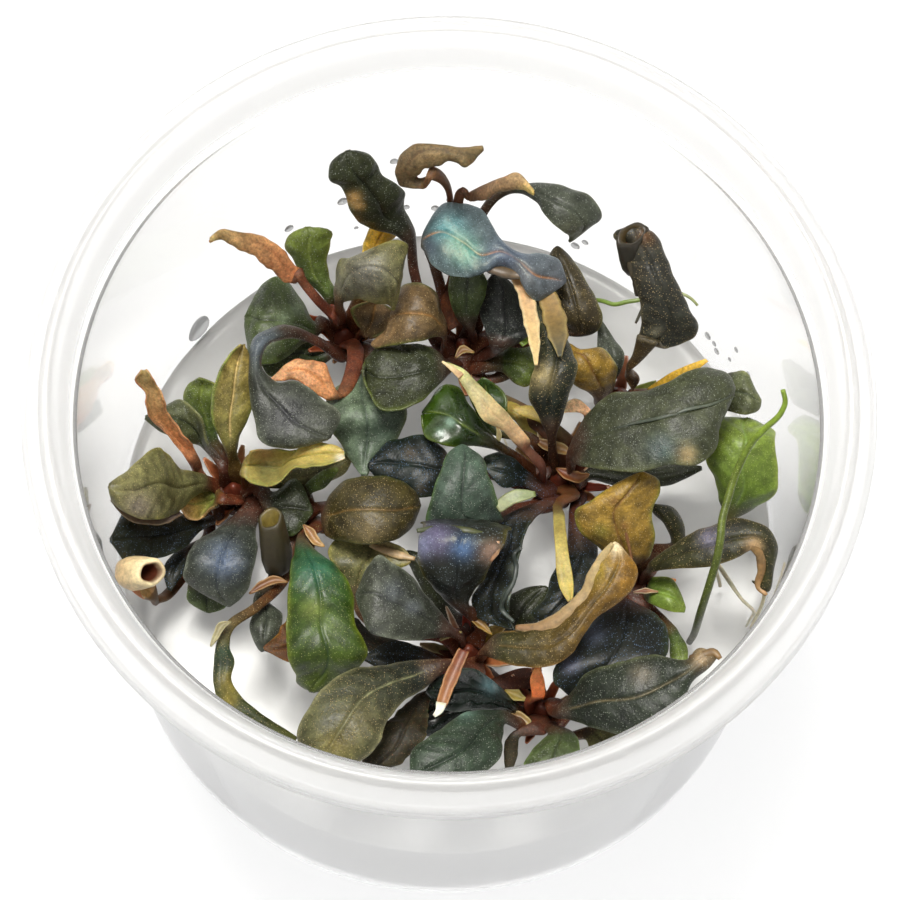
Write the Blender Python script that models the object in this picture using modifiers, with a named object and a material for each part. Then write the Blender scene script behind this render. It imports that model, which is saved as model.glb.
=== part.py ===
"""Bucephalandra grown in gel in a clear plastic cup.

Metres, +Z up, with the origin at the middle of the cup's flat base.  A rhizome creeps over the gel in five
pieces, each piece has its crowns, and a leaf is one surface from its sheath at the crown to its tip.
"""
import math

import bmesh
import bpy
import numpy as np

MM = 0.001
GAP = 0.3

CUP_HEIGHT = 71.0
RIM_INNER_R = 46.5
RIM_FLANGE_R = 50.0
FLANGE_Z = 69.4
SKIRT_Z = 66.5
COLLAR_Z = 64.8
COLLAR_R = 43.7
WALL = 0.8
FLOOR = 1.2
GEL_TOP = 23.2
WALL_R_AT_GEL = 41.4
WALL_TAPER = 0.0553
BASE_CORNER = 2.5
CUP_STEPS = 32

LEAF_THICK = 0.5
LAYER = 1.15
STALK_WIDTH = 1.3
NUB_R = 1.9
NUB_TOP = 30.5
STEM_R = 1.2
STEM_LIFT = 0.35
TIP_WIDTH = 0.5

PLAN_H = 48.0
EYE_Y = -185.0
EYE_Z = 535.5
SETTLE_CELL = 0.5
SETTLE_HALF = 46.0
SETTLE_PASSES = 4
LOWEST_BLADE = 25.5
LOWEST_SHEATH = 26.3
SHEATH_STEP = 1.3
SHEATH_LEVELS = 3
SHEATH_WIDTH = 0.9
SHEATH_APART = math.radians(34)
KNEE_OUT = 0.9
KNEE_UP = 2.6
KNEE_SHARE = 0.75
LEAF_START_R = NUB_R + GAP + LEAF_THICK / 2
SMALL_START_R = NUB_R - 0.9

CROWNS = {
    "back": (-13.0, 16.0),
    "rear": (1.5, 15.0),
    "left": (-25.6, -4.6),
    "middle": (-17.6, -7.2),
    "front": (3.2, -24.2),
    "rim": (12.0, -31.0),
    "right": (13.6, -2.0),
    "side": (22.6, -14.2),
    "far": (20.6, 9.2),
}
STEMS = {
    "rhizome_back": ["back", "rear"],
    "rhizome_left": ["left", "middle"],
    "rhizome_front": ["front", "rim"],
    "rhizome_right": ["far", "right"],
    "rhizome_side": ["side"],
}


def sight(x, y, h):
    """A point seen at (x, y) on the plane at PLAN_H, moved along its line of sight to the height h."""
    k = (EYE_Z - h) / (EYE_Z - PLAN_H)
    return np.array([x * k, EYE_Y + (y - EYE_Y) * k, h])


def inner_radius(z):
    """Radius of the cup's inside at a height: the wall widens evenly from the gel to the collar."""
    return WALL_R_AT_GEL + (z - GEL_TOP) * WALL_TAPER


# Each leaf has a crown, a finish, the middle line of its stalk as x, y, h, and the rows of its blade.
# A short row is x, y of the left margin, x, y of the right margin and h.  A long row gives x, y, h of the
# left margin, of the middle and of the right margin.  The rows run from the stalk to the tip.
LEAVES = {}
SMALL = {}


def leaf(name, crown, finish, stalk, rows, tip, droop=1.0, small=False, front=0.0):
    """Keep one leaf: long rows as they are, and short rows with margins lower than the middle by droop.

    front moves a leaf up in the order in which the blades are laid over each other, in mm.
    """
    full = []
    for r in rows:
        if len(r) == 5:
            xl, yl, xr, yr, h = r
            middle = ((xl + xr) / 2, (yl + yr) / 2, h)
            full.append([(xl, yl, h - droop), middle, (xr, yr, h - droop)])
        else:
            full.append([r[0:3], r[3:6], r[6:9]])
    (SMALL if small else LEAVES)[name] = {
        "crown": crown,
        "finish": finish,
        "stalk": [np.array(p, float) for p in stalk],
        "rows": np.array(full, float),
        "tip": np.array(tip, float),
        "front": front,
    }


leaf("leaf_back_1", "back", "dead", [(-15.0, 18.2, 34), (-16.6, 20.0, 37.5), (-18.6, 22.6, 40)], [
    (-20.0, 23.2, -18.9, 24.9, 42), (-21.6, 24.5, -20.2, 26.4, 44), (-23.2, 26.0, -21.6, 28.2, 46),
    (-25.4, 27.5, -24.4, 29.6, 48), (-27.6, 28.4, -27.0, 29.9, 49.5), (-29.0, 29.1, -28.9, 30.1, 50.5),
], (-30.2, 28.7, 51), 0.5)
leaf("leaf_back_2", "back", "green", [(-14.9, 19.5, 33.5)], [
    (-15.8, 21.6, -14.2, 22.0, 37), (-18.8, 24.5, -15.3, 24.3, 39), (-19.8, 26.6, -15.7, 26.6, 41),
    (-20.9, 28.6, -15.2, 29.0, 43), (-20.0, 30.1, -15.8, 30.6, 44),
], (-18.2, 30.9, 44))
leaf("leaf_back_3", "back", "deep", [], [
    (-17.0, 16.0, -17.0, 18.2, 32), (-18.8, 14.6, -18.6, 21.0, 34), (-21.3, 12.6, -20.6, 23.9, 35.5),
    (-24.6, 12.9, -22.6, 23.5, 35.5), (-25.0, 15.2, -24.0, 22.0, 34.5),
], (-25.4, 18.6, 34))
leaf("leaf_back_4", "back", "olive", [(-13.6, 19.0, 35)], [
    (-14.4, 23.5, 42.5, -13.7, 22.4, 44, -13.2, 21.1, 41), (-14.1, 26.5, 45, -12.7, 24.7, 47, -12.0, 21.3, 42.5),
    (-12.0, 27.2, 47, -10.6, 25.8, 49, -10.4, 21.2, 43), (-8.2, 29.3, 48.5, -8.6, 25.6, 49, -9.0, 21.0, 43),
    (-6.0, 29.2, 48, -7.3, 24.4, 47.5, -7.9, 20.7, 42), (-6.3, 26.5, 45.5, -6.9, 23.0, 44.5, -7.3, 20.2, 41.5),
], (-6.8, 21.3, 42))
leaf("leaf_back_5", "back", "bronze", [], [
    (-11.4, 17.8, -9.4, 16.4, 34), (-12.2, 19.2, -7.4, 17.5, 35.5), (-12.2, 20.4, -6.9, 19.7, 36.5),
], (-9.4, 21.4, 37), -1.0, True)
leaf("leaf_back_6", "back", "ochre", [(-12.4, 19.4, 33)], [
    (-11.8, 23.4, -9.4, 23.2, 37.5), (-11.6, 25.5, -9.2, 25.5, 39.5), (-11.3, 27.8, -8.8, 28.6, 42),
    (-10.8, 30.3, -7.3, 30.2, 44.5), (-9.6, 32.1, -7.0, 31.5, 46),
], (-8.3, 32.7, 46.5))
leaf("leaf_back_7", "back", "slate", [(-16.5, 15.7, 36)], [
    (-20.9, 15.8, -21.8, 17.2, 42), (-22.6, 14.8, -24.2, 15.6, 43), (-23.1, 12.0, -24.5, 12.0, 42.5),
    (-21.0, 10.1, -24.2, 8.0, 41.5), (-18.3, 10.1, -23.4, 4.2, 41), (-15.4, 8.1, -22.5, 2.2, 40.5),
    (-13.3, 5.4, -18.2, 1.6, 40),
], (-14.4, 2.9, 39.5))
leaf("leaf_back_8", "back", "peach", [], [
    (-15.0, 8.1, -13.8, 9.2, 36.5), (-16.6, 8.9, -15.4, 12.5, 37.5), (-18.4, 10.3, -17.0, 13.2, 38),
    (-20.4, 10.3, -19.6, 12.7, 38),
], (-21.9, 10.3, 37.5), 0.3, True)
leaf("leaf_back_9", "back", "sage", [], [
    (-9.5, 11.5, -12.0, 10.9, 33), (-7.5, 9.0, -13.8, 8.4, 35), (-6.3, 6.3, -13.6, 5.2, 36),
    (-7.0, 3.4, -12.5, 3.0, 36), (-8.8, 0.4, -11.2, 0.2, 35.5),
], (-10.0, -1.7, 35))
leaf("leaf_rear_1", "rear", "ink", [(-3.2, 19.6, 33.5), (-4.8, 25.2, 36)], [
    (-7.2, 30.2, -5.3, 31.7, 41.5), (-10.7, 31.0, -6.4, 34.0, 43), (-12.9, 33.2, -6.4, 36.2, 46.5),
    (-14.2, 36.4, -9.2, 38.3, 49.5), (-15.9, 38.0, -10.2, 40.2, 52), (-15.2, 40.3, -12.0, 41.3, 53),
], (-13.6, 41.5, 53))
leaf("leaf_rear_2", "rear", "taupe", [(0.2, 24.0, 34), (-0.4, 30.0, 38), (-1.2, 35.8, 46)], [
    (-4.3, 36.1, -3.4, 37.7, 51.5), (-6.9, 37.2, -4.9, 38.0, 53), (-7.6, 39.2, -4.8, 38.8, 55),
    (-5.6, 42.5, -3.4, 39.8, 56.5), (-2.6, 42.6, -1.0, 40.7, 57), (1.0, 42.4, 1.4, 40.2, 56.5),
], (3.2, 42.4, 55.5), 0.4)
leaf("leaf_rear_3", "rear", "tan_roll", [(1.3, 22.0, 34), (0.4, 30.0, 39), (0.6, 34.6, 44)], [
    (1.4, 36.0, 2.1, 35.2, 47), (4.0, 37.6, 4.0, 35.9, 50.5), (6.0, 38.5, 5.8, 37.0, 53),
    (7.6, 39.1, 8.2, 37.3, 54),
], (9.7, 36.6, 54), 0.3)
leaf("leaf_rear_4", "rear", "grey", [(3.2, 24.0, 35), (2.6, 31.0, 40), (4.6, 35.4, 44)], [
    (7.2, 37.4, 7.6, 36.5, 47.5), (10.0, 37.8, 10.0, 35.4, 49.5), (13.5, 37.5, 11.3, 33.3, 50.5),
    (16.8, 36.2, 13.1, 31.6, 50), (18.0, 33.6, 14.0, 31.0, 48.5), (16.4, 31.8, 14.2, 30.5, 46.5),
], (14.4, 30.1, 45))
leaf("leaf_rear_5", "rear", "iridescent", [(-1.2, 21.4, 34.5), (-2.4, 26.4, 41)], [
    (-3.6, 31.0, 45, -3.5, 29.8, 46, -3.6, 28.2, 45), (-1.9, 34.2, 46, -1.6, 30.8, 47.5, -2.4, 26.2, 46),
    (0.8, 34.7, 47, 1.0, 29.5, 49, -0.3, 24.9, 46.5), (3.4, 33.8, 47, 3.4, 27.8, 49, 2.6, 25.2, 47),
    (5.4, 30.2, 47, 5.8, 28.4, 48.5, 5.4, 26.3, 47), (8.2, 28.3, 47, 8.0, 27.2, 48, 7.6, 25.9, 47),
    (10.4, 28.2, 46, 10.0, 25.4, 47.5, 9.4, 22.6, 46), (13.0, 27.4, 45, 12.2, 25.0, 46, 11.0, 22.3, 45),
], (13.9, 24.6, 45))
leaf("leaf_rear_6", "rear", "dotted", [(9.0, 16.4, 34), (12.6, 17.9, 37)], [
    (14.2, 18.4, 17.4, 18.0, 38.5), (13.0, 20.0, 18.2, 19.4, 40.5), (12.3, 22.6, 17.6, 22.4, 41.5),
    (12.2, 25.5, 15.9, 25.3, 42), (11.9, 27.9, 14.3, 27.9, 42.5),
], (12.8, 29.3, 42))
leaf("leaf_rear_7", "rear", "plum", [], [
    (4.6, 17.2, 8.4, 16.7, 38), (3.8, 19.4, 9.7, 18.2, 40.5), (3.8, 22.0, 9.0, 21.2, 42),
    (4.3, 24.2, 7.9, 23.4, 43.5),
], (5.2, 25.5, 44))
leaf("leaf_rear_8", "rear", "deep", [], [
    (0.4, 20.0, 3.2, 20.0, 39), (-0.4, 22.3, 3.9, 22.3, 41.5), (-0.2, 25.2, 3.9, 25.0, 43),
], (2.0, 27.2, 44))
leaf("leaf_rear_9", "rear", "bronze", [], [
    (-1.8, 16.8, -1.2, 19.8, 38.5), (-3.4, 16.3, -2.2, 22.8, 40.5), (-5.6, 15.7, -4.4, 23.8, 41),
    (-7.6, 15.3, -6.5, 22.9, 39.5), (-9.2, 15.0, -7.3, 18.2, 38.5),
], (-9.7, 15.6, 37.5))
leaf("leaf_rear_10", "rear", "glossy", [], [
    (-1.6, 10.2, -2.2, 15.0, 38), (-3.5, 8.0, -4.2, 15.7, 40), (-6.3, 6.9, -6.8, 15.5, 40.5),
    (-9.0, 7.6, -9.0, 14.8, 40), (-10.2, 10.0, -10.3, 13.6, 39),
], (-10.6, 11.9, 38.5))
leaf("leaf_left_1", "left", "dead", [(-27.8, -3.4, 32), (-29.8, -1.4, 33.8)], [
    (-31.6, -0.2, -30.6, 0.9, 35), (-33.7, 2.4, -31.4, 1.8, 36.5), (-36.0, 4.6, -34.0, 5.0, 38),
    (-36.9, 6.6, -34.7, 6.9, 40), (-36.9, 8.2, -35.6, 8.8, 41), (-38.3, 9.6, -36.2, 9.8, 42),
], (-37.4, 11.1, 42.5), 0.4)
leaf("leaf_left_2", "left", "teal", [(-27.0, -1.4, 32)], [
    (-29.8, 1.4, -29.2, 2.0, 34.5), (-31.8, 1.9, -30.4, 5.8, 38), (-33.4, 2.5, -32.8, 7.4, 39.5),
    (-35.2, 3.4, -34.6, 6.6, 40),
], (-36.9, 4.9, 40))
leaf("leaf_left_3", "left", "green", [], [
    (-29.4, 2.5, -28.0, 2.4, 32.5), (-31.0, 5.5, -28.1, 5.2, 34.5), (-32.4, 7.6, -28.2, 7.8, 36),
    (-31.8, 9.6, -28.4, 9.6, 37),
], (-30.4, 10.3, 36.5))
leaf("leaf_left_4", "left", "striped", [(-25.8, -0.6, 33)], [
    (-27.2, 1.7, -25.5, 2.4, 37), (-28.8, 4.8, -24.4, 5.2, 40.5), (-28.8, 8.0, -23.9, 8.4, 42),
    (-28.2, 11.4, -24.1, 11.4, 43), (-26.9, 13.6, -24.7, 13.5, 43),
], (-25.5, 14.9, 42.5))
leaf("leaf_left_5", "left", "olive", [], [
    (-29.5, -4.4, -29.4, -2.4, 33), (-32.0, -6.6, -32.5, -1.6, 37), (-34.8, -7.8, -35.4, 0.6, 43),
    (-38.0, -7.4, -38.2, -1.8, 46), (-40.3, -5.7, -39.8, -3.2, 47),
], (-40.8, -4.0, 47))
leaf("leaf_left_6", "left", "decayed", [(-26.8, -5.4, 33)], [
    (-28.0, -6.4, -27.8, -4.4, 36), (-29.0, -7.7, -29.2, -4.1, 38), (-31.1, -7.8, -31.2, -4.3, 40),
], (-32.6, -5.4, 40.5), 0.6, True)
leaf("leaf_left_7", "left", "black", [(-27.4, -7.6, 29.2)], [
    (-28.8, -9.0, -28.7, -7.9, 30.5), (-31.2, -11.4, -32.0, -7.7, 33.5), (-35.0, -13.0, -35.5, -7.8, 37.5),
    (-38.2, -13.6, -38.8, -7.8, 41),
], (-40.2, -11.0, 42.5))
leaf("leaf_left_8", "left", "slate", [], [
    (-22.8, -9.0, -27.0, -9.0, 33.5), (-22.5, -11.5, -30.3, -11.4, 35.5), (-22.8, -14.0, -31.0, -13.8, 36),
    (-23.4, -16.8, -30.8, -16.2, 34.5),
], (-25.6, -19.0, 32.5), front=5)
leaf("leaf_left_9", "left", "deep", [], [
    (-20.8, -4.2, -20.8, -8.2, 32.8), (-18.1, -2.6, -18.2, -9.8, 33.5),
], (-16.0, -6.6, 33), 0.4, True)
leaf("leaf_left_10", "left", "lemon", [(-24.6, -1.8, 34.2)], [
    (-24.0, 0.8, 38.5, -24.4, -1.0, 36.5, -24.6, -2.5, 36.5), (-22.0, 1.3, 40, -22.2, -0.9, 37, -22.4, -3.5, 37.5),
    (-20.0, 1.2, 40.5, -20.0, -1.0, 38, -20.5, -3.2, 38.5), (-18.8, 1.2, 41, -19.0, -0.2, 40, -19.0, -1.2, 39.5),
    (-16.8, 2.2, 42, -16.7, 0.6, 42, -16.6, -1.0, 41), (-14.6, 2.2, 42, -14.5, 0.9, 42.5, -14.5, -0.4, 41.5),
], (-12.5, 0.9, 42.5))
leaf("leaf_left_11", "left", "cream_roll", [(-27.6, -9.2, 27.5), (-31.0, -13.8, 29.5), (-34.0, -17.2, 32)], [
    (-35.6, -18.4, -34.6, -16.4, 35), (-37.2, -17.6, -35.3, -14.6, 37), (-38.3, -16.2, -36.8, -14.4, 38),
], (-38.7, -15.4, 38.5), 0.3, True)
leaf("leaf_middle_1", "middle", "bean", [], [
    (-13.8, -4.2, -14.0, -9.7, 38), (-11.6, -2.2, -11.8, -10.4, 40.5), (-8.8, -1.7, -8.9, -10.5, 41.5),
    (-6.0, -2.2, -6.0, -9.9, 41), (-4.0, -3.2, -4.1, -8.1, 39.5),
], (-3.1, -5.4, 38), 1.5)
leaf("leaf_middle_2", "middle", "lime", [(-17.0, -9.8, 34)], [
    (-15.6, -11.7, -17.8, -11.6, 38), (-12.9, -13.8, -18.1, -14.2, 41), (-11.1, -17.2, -18.2, -18.0, 43),
    (-10.8, -21.0, -18.1, -21.6, 44), (-9.2, -24.4, -17.7, -25.2, 42), (-11.0, -26.9, -16.9, -27.2, 39.5),
    (-13.8, -29.0, -16.4, -28.6, 37.5),
], (-15.2, -29.4, 37))
leaf("leaf_middle_3", "middle", "thin_olive", [(-18.7, -14.0, 31), (-22.3, -19.0, 36), (-25.4, -21.6, 38)], [
    (-25.3, -24.0, -26.8, -24.2, 39), (-24.6, -26.1, -27.0, -26.6, 40), (-24.9, -28.0, -26.8, -29.0, 40),
    (-23.8, -30.0, -26.0, -31.2, 39), (-21.4, -32.1, -22.3, -33.1, 38), (-18.8, -33.8, -19.4, -34.9, 37),
], (-16.8, -35.3, 36), 0.4)
leaf("leaf_middle_4", "middle", "grey", [(-19.6, -14.6, 30)], [
    (-21.0, -18.0, -22.4, -17.4, 32), (-19.2, -19.9, -22.7, -19.8, 34.5), (-19.4, -21.9, -22.8, -22.0, 35.5),
    (-20.4, -23.6, -22.0, -23.8, 35),
], (-21.3, -24.5, 34), 1.0, True)
leaf("leaf_middle_5", "middle", "rust", [(-16.9, -14.0, 30), (-16.6, -18.6, 34)], [
    (-17.4, -19.6, -15.6, -20.4, 35), (-18.6, -20.6, -16.0, -24.0, 36), (-19.6, -22.2, -17.6, -25.8, 36.5),
], (-21.1, -24.2, 37), 0.4, True)
leaf("leaf_front_1", "front", "rollover", [], [
    (0.2, -17.0, 3.0, -17.3, 38), (-1.7, -15.0, 4.6, -14.4, 41.5), (-2.9, -12.0, 5.8, -12.0, 44.5),
    (-2.9, -9.6, 6.9, -9.8, 45.5), (-2.4, -8.2, 7.2, -8.5, 45), (-2.0, -7.4, 7.0, -7.6, 42.5),
], (2.4, -7.0, 41), 1.2)
leaf("leaf_front_2", "front", "slate", [(1.4, -21.4, 34)], [
    (-1.0, -22.1, -0.6, -18.6, 38), (-3.4, -22.6, -3.2, -15.2, 41), (-6.0, -22.4, -5.8, -13.1, 43),
    (-8.6, -21.6, -8.0, -11.9, 43.5),
], (-10.4, -17.0, 41))
leaf("leaf_front_3", "front", "olive", [(-6.0, -21.5, 31.5), (-9.6, -19.4, 32.5)], [
    (-11.7, -15.8, -8.9, -15.6, 34.5), (-13.6, -13.0, -6.0, -13.8, 36), (-13.9, -11.0, -3.9, -12.6, 37),
    (-12.5, -9.8, -4.6, -11.3, 37),
], (-8.0, -9.7, 37), 0.4)
leaf("leaf_front_4", "front", "bronze_grey", [(0.6, -25.4, 36)], [
    (-1.6, -28.2, -3.4, -25.2, 37), (-4.2, -30.2, -7.6, -25.9, 40), (-6.1, -32.6, -11.8, -27.0, 42),
    (-7.0, -35.4, -15.3, -31.0, 43), (-8.8, -37.6, -16.7, -35.0, 42),
], (-13.0, -39.4, 40))
leaf("leaf_front_5", "front", "gold_fold", [(5.0, -23.6, 34)], [
    (7.2, -21.2, 6.8, -24.6, 38.5), (10.5, -20.6, 9.5, -25.4, 40), (13.0, -20.3, 12.5, -25.3, 41),
    (15.4, -18.2, 15.2, -24.0, 42), (17.5, -15.8, 18.0, -19.3, 43), (18.0, -12.6, 22.2, -15.8, 44),
    (19.0, -10.5, 23.1, -12.4, 44.5),
], (20.7, -9.3, 44.5))
leaf("leaf_rim_1", "rim", "brown", [(4.0, -28.6, 31)], [
    (-1.2, -29.6, -3.0, -29.8, 34.5), (-1.8, -31.8, -4.6, -31.8, 35.5), (-2.0, -34.0, -6.0, -33.2, 36.5),
    (-3.4, -36.2, -6.8, -36.0, 37), (-5.6, -38.2, -8.6, -38.2, 37),
], (-7.6, -39.6, 36.5), 0.6, True)
leaf("leaf_rim_2", "rim", "teal_gloss", [], [
    (7.7, -32.6, 7.0, -31.0, 34.5), (7.6, -34.5, 3.6, -31.2, 37), (7.2, -37.0, 0.6, -33.2, 39),
    (5.0, -39.0, -1.5, -34.8, 40), (1.0, -40.2, -3.2, -36.6, 40),
], (-3.0, -39.4, 39.5), 0.8)
leaf("leaf_rim_3", "rim", "black_teal", [], [
    (8.4, -31.2, 8.9, -29.8, 35.5), (6.0, -31.0, 7.0, -27.9, 37.5), (3.6, -31.1, 4.2, -25.9, 38.5),
    (1.2, -31.2, 1.4, -26.2, 38.5), (-0.6, -30.4, -0.4, -27.2, 37.5),
], (-1.6, -28.8, 37))
leaf("leaf_rim_4", "rim", "slate_big", [(13.4, -30.6, 33)], [
    (15.4, -28.8, 16.2, -31.9, 38.5), (18.0, -25.6, 20.0, -33.2, 42), (21.8, -24.3, 24.5, -33.4, 44),
    (25.4, -23.4, 28.4, -30.6, 45), (29.0, -24.0, 30.0, -26.6, 46), (31.0, -22.4, 32.2, -24.4, 46.5),
], (32.8, -23.2, 46))
leaf("leaf_rim_5", "rim", "deep", [(13.0, -32.8, 31)], [
    (16.2, -33.7, 12.8, -34.1, 34.5), (16.8, -35.6, 11.0, -35.8, 36.5), (16.8, -38.0, 10.4, -38.2, 37),
], (13.6, -40.0, 37), 0.6, True)
leaf("leaf_right_1", "right", "emerald", [(9.2, 0.6, 31.5)], [
    (3.5, 2.6, 4.0, 5.4, 36.5), (1.0, 2.3, 2.4, 8.2, 38), (-1.4, 2.8, 0.9, 10.3, 38.5),
    (-3.0, 3.9, -1.2, 9.8, 38),
], (-3.2, 6.6, 37))
leaf("leaf_right_2", "right", "emerald", [(10.3, 3.6, 34)], [
    (4.6, 4.8, 6.8, 6.0, 35.5), (2.8, 8.0, 7.2, 7.6, 37), (2.6, 10.3, 6.4, 9.9, 37.5),
], (4.2, 11.5, 37.5), 0.6, True)
leaf("leaf_right_3", "right", "straw", [(11.2, 0.6, 36), (9.6, 2.4, 38.5)], [
    (8.2, 3.2, 9.8, 3.6, 40), (6.3, 5.0, 8.0, 5.7, 41.5), (4.4, 6.0, 6.6, 7.4, 42.5), (3.0, 8.3, 5.0, 9.0, 43),
    (1.6, 10.6, 3.2, 10.8, 43), (0.6, 12.2, 1.7, 12.4, 42.5),
], (-0.6, 13.3, 42), 0.3)
leaf("leaf_right_4", "right", "mist", [(8.0, -5.6, 33)], [
    (1.5, -7.7, 6.7, -6.6, 38), (-1.9, -7.5, 6.1, -5.2, 39.5), (-1.6, -4.5, 5.4, -3.0, 41),
    (-0.7, -1.4, 4.8, -1.0, 41.5), (0.1, 1.4, 4.2, 0.8, 41),
], (1.9, 2.6, 39.5))
leaf("leaf_right_5", "right", "black", [(11.8, -4.8, 35)], [
    (10.3, -7.0, 6.6, -7.2, 38), (9.3, -10.0, 6.0, -11.0, 39), (8.7, -13.0, 4.6, -14.5, 39.5),
    (8.0, -16.8, 3.5, -17.2, 39), (8.0, -18.7, 4.2, -19.3, 37.5),
], (8.4, -20.8, 36.5), 0.8)
leaf("leaf_right_6", "right", "big_grey", [(14.8, 1.6, 36)], [
    (16.8, 6.9, 42, 17.5, 4.2, 42.5, 16.5, 0.3, 42), (19.5, 9.8, 44, 20.5, 5.3, 45.5, 20.0, -0.1, 45),
    (23.0, 10.4, 45.5, 24.0, 6.4, 47, 23.6, -0.1, 46.5), (27.0, 11.7, 46.5, 27.2, 7.3, 48.5, 27.0, 0.9, 47),
    (30.5, 13.8, 46.5, 30.0, 8.3, 48.5, 30.2, 1.0, 47), (33.2, 13.4, 46, 32.5, 9.2, 48, 32.6, 3.3, 47),
    (34.8, 11.6, 46, 34.0, 9.9, 47, 33.2, 6.6, 46.5),
], (34.7, 10.3, 46.5))
leaf("leaf_right_7", "right", "strap", [(12.8, 1.6, 34), (12.6, 4.4, 39)], [
    (11.0, 6.8, 13.8, 6.8, 42), (9.9, 8.8, 14.5, 9.0, 44), (9.8, 11.0, 15.0, 11.2, 45.5),
    (10.3, 13.2, 15.5, 13.4, 46), (10.9, 15.6, 15.0, 15.2, 45.5), (10.3, 18.4, 13.7, 18.0, 45),
    (9.2, 20.8, 13.0, 20.6, 44.5),
], (10.4, 24.0, 43.5))
leaf("leaf_right_8", "right", "black", [(15.6, -5.4, 31)], [
    (18.4, -10.4, 14.4, -11.6, 34), (18.2, -13.6, 12.9, -14.0, 36), (17.6, -16.0, 12.1, -17.0, 36.5),
    (15.0, -18.6, 10.8, -19.0, 36),
], (12.4, -19.9, 35), 1.0, True)
leaf("leaf_right_9", "right", "spotted", [(9.0, -2.4, 29.5), (4.0, -0.7, 31.5), (1.2, -0.6, 34)], [
    (-0.6, -3.0, -0.8, 1.5, 36), (-3.2, -3.4, -3.0, 2.9, 36.5), (-5.8, -2.6, -5.6, 2.4, 36),
    (-8.0, -1.8, -7.6, 1.9, 35.5),
], (-9.6, -0.4, 35), 0.6)
leaf("leaf_side_1", "side", "gold", [], [
    (18.9, -10.4, 24.8, -10.8, 37.5), (16.3, -8.0, 25.3, -8.0, 40), (15.6, -5.4, 25.0, -5.2, 41.5),
    (17.6, -4.0, 25.8, -2.4, 42.5), (20.4, -1.9, 25.5, -0.9, 43),
], (23.6, -0.1, 43))
leaf("leaf_side_2", "side", "curl", [], [
    (25.0, -11.6, 25.0, -12.9, 37), (28.6, -8.6, 28.0, -12.4, 40), (32.0, -6.8, 32.0, -12.0, 42),
    (35.5, -5.8, 35.4, -10.7, 43), (38.9, -6.8, 37.2, -9.6, 43), (40.0, -8.8, 38.4, -10.6, 42),
    (39.6, -12.0, 38.6, -12.2, 40.5), (38.9, -15.0, 37.8, -13.9, 39),
], (37.2, -13.8, 38.5), 0.5)
leaf("leaf_side_3", "side", "fresh", [(27.5, -11.2, 31), (34.0, -5.6, 35.5)], [
    (33.0, -3.2, 37.6, -4.1, 38), (32.4, -0.6, 39.8, -2.2, 40.5), (31.4, 1.9, 40.2, 0.2, 42),
    (32.8, 4.6, 39.7, 4.0, 43), (33.2, 7.2, 38.8, 6.3, 42.5),
], (36.6, 7.3, 42), 1.2)
leaf("leaf_side_4", "side", "starry", [(21.6, -16.8, 33)], [
    (25.6, -18.4, 18.4, -18.9, 36), (27.0, -20.6, 15.8, -22.6, 38), (26.6, -23.8, 13.6, -25.2, 39),
    (22.0, -26.6, 13.6, -27.2, 38),
], (15.6, -28.8, 36), 0.8)
leaf("leaf_far_1", "far", "tower", [(21.8, 12.2, 35)], [
    (22.5, 15.2, 25.6, 14.5, 41), (22.8, 17.4, 29.0, 17.0, 44), (23.4, 19.6, 30.3, 19.2, 46.5),
    (23.2, 21.8, 29.0, 21.7, 48.5), (22.4, 24.6, 28.0, 24.0, 50), (21.7, 27.0, 26.8, 26.8, 51),
    (20.6, 29.6, 25.7, 29.3, 52), (19.9, 31.3, 24.9, 31.4, 52.5),
], (22.6, 32.4, 52), 1.6)
leaf("leaf_far_2", "far", "grey", [], [
    (18.4, 12.6, 20.6, 12.6, 35), (17.9, 15.6, 21.3, 15.0, 37), (18.0, 17.8, 19.8, 17.3, 38),
], (18.2, 19.7, 38.5), 0.5, True)
leaf("leaf_far_3", "far", "gold", [], [
    (16.8, 10.5, 19.9, 11.6, 38), (15.0, 11.8, 19.9, 13.8, 40.5), (14.6, 13.6, 18.2, 15.7, 41.5),
    (14.0, 15.4, 16.0, 15.5, 41),
], (14.2, 16.4, 40), 1.2)
leaf("leaf_far_4", "far", "teal", [(24.6, 9.1, 33), (31.0, 9.8, 39)], [
    (34.6, 13.3, 34.4, 8.1, 42), (36.4, 13.0, 36.6, 7.8, 43), (37.4, 10.8, 37.8, 8.6, 42.5),
], (38.0, 9.7, 42), 0.6)

leaf("left_dark_a", "left", "black", [(-28.4, -10.0, 27)], [
    (-30.0, -13.6, -32.4, -12.4, 30), (-31.4, -15.4, -33.6, -14.6, 31),
], (-32.8, -17.2, 30.5), 0.2, True)
leaf("left_dark_b", "left", "deep", [(-25.6, -12.0, 28)], [
    (-25.8, -17.8, -30.6, -16.9, 29.8), (-26.2, -19.3, -30.2, -18.8, 29),
], (-28.0, -19.9, 28.6), 0.2, True)
leaf("left_tube", "middle", "brown", [], [
    (-19.4, -12.6, -21.0, -12.2, 30.4),
], (-20.8, -16.0, 30.6), 0.2, True)
leaf("middle_green", "middle", "green", [], [
    (-16.9, -3.0, -16.2, -4.2, 32.5), (-15.2, -1.4, -14.6, -3.4, 33.5),
], (-13.2, -1.0, 33.5), 0.2, True)
leaf("front_dark", "front", "black", [], [
    (-2.6, -26.2, -2.6, -23.4, 31.5), (-6.4, -26.6, -6.4, -22.8, 32.5),
], (-9.2, -25.0, 32.5), 0.3, True)
leaf("front_stub", "front", "orange_stub", [], [
    (2.0, -26.4, 0.8, -25.8, 34), (0.9, -28.2, -0.3, -27.8, 40.6),
], (0.0, -31.0, 42), 0.1, True)
leaf("rim_stub", "rim", "orange_stub", [], [
    (12.4, -29.0, 10.9, -29.0, 34), (12.2, -26.4, 10.8, -26.4, 36),
], (11.5, -25.4, 36.5), 0.1, True)
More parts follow.
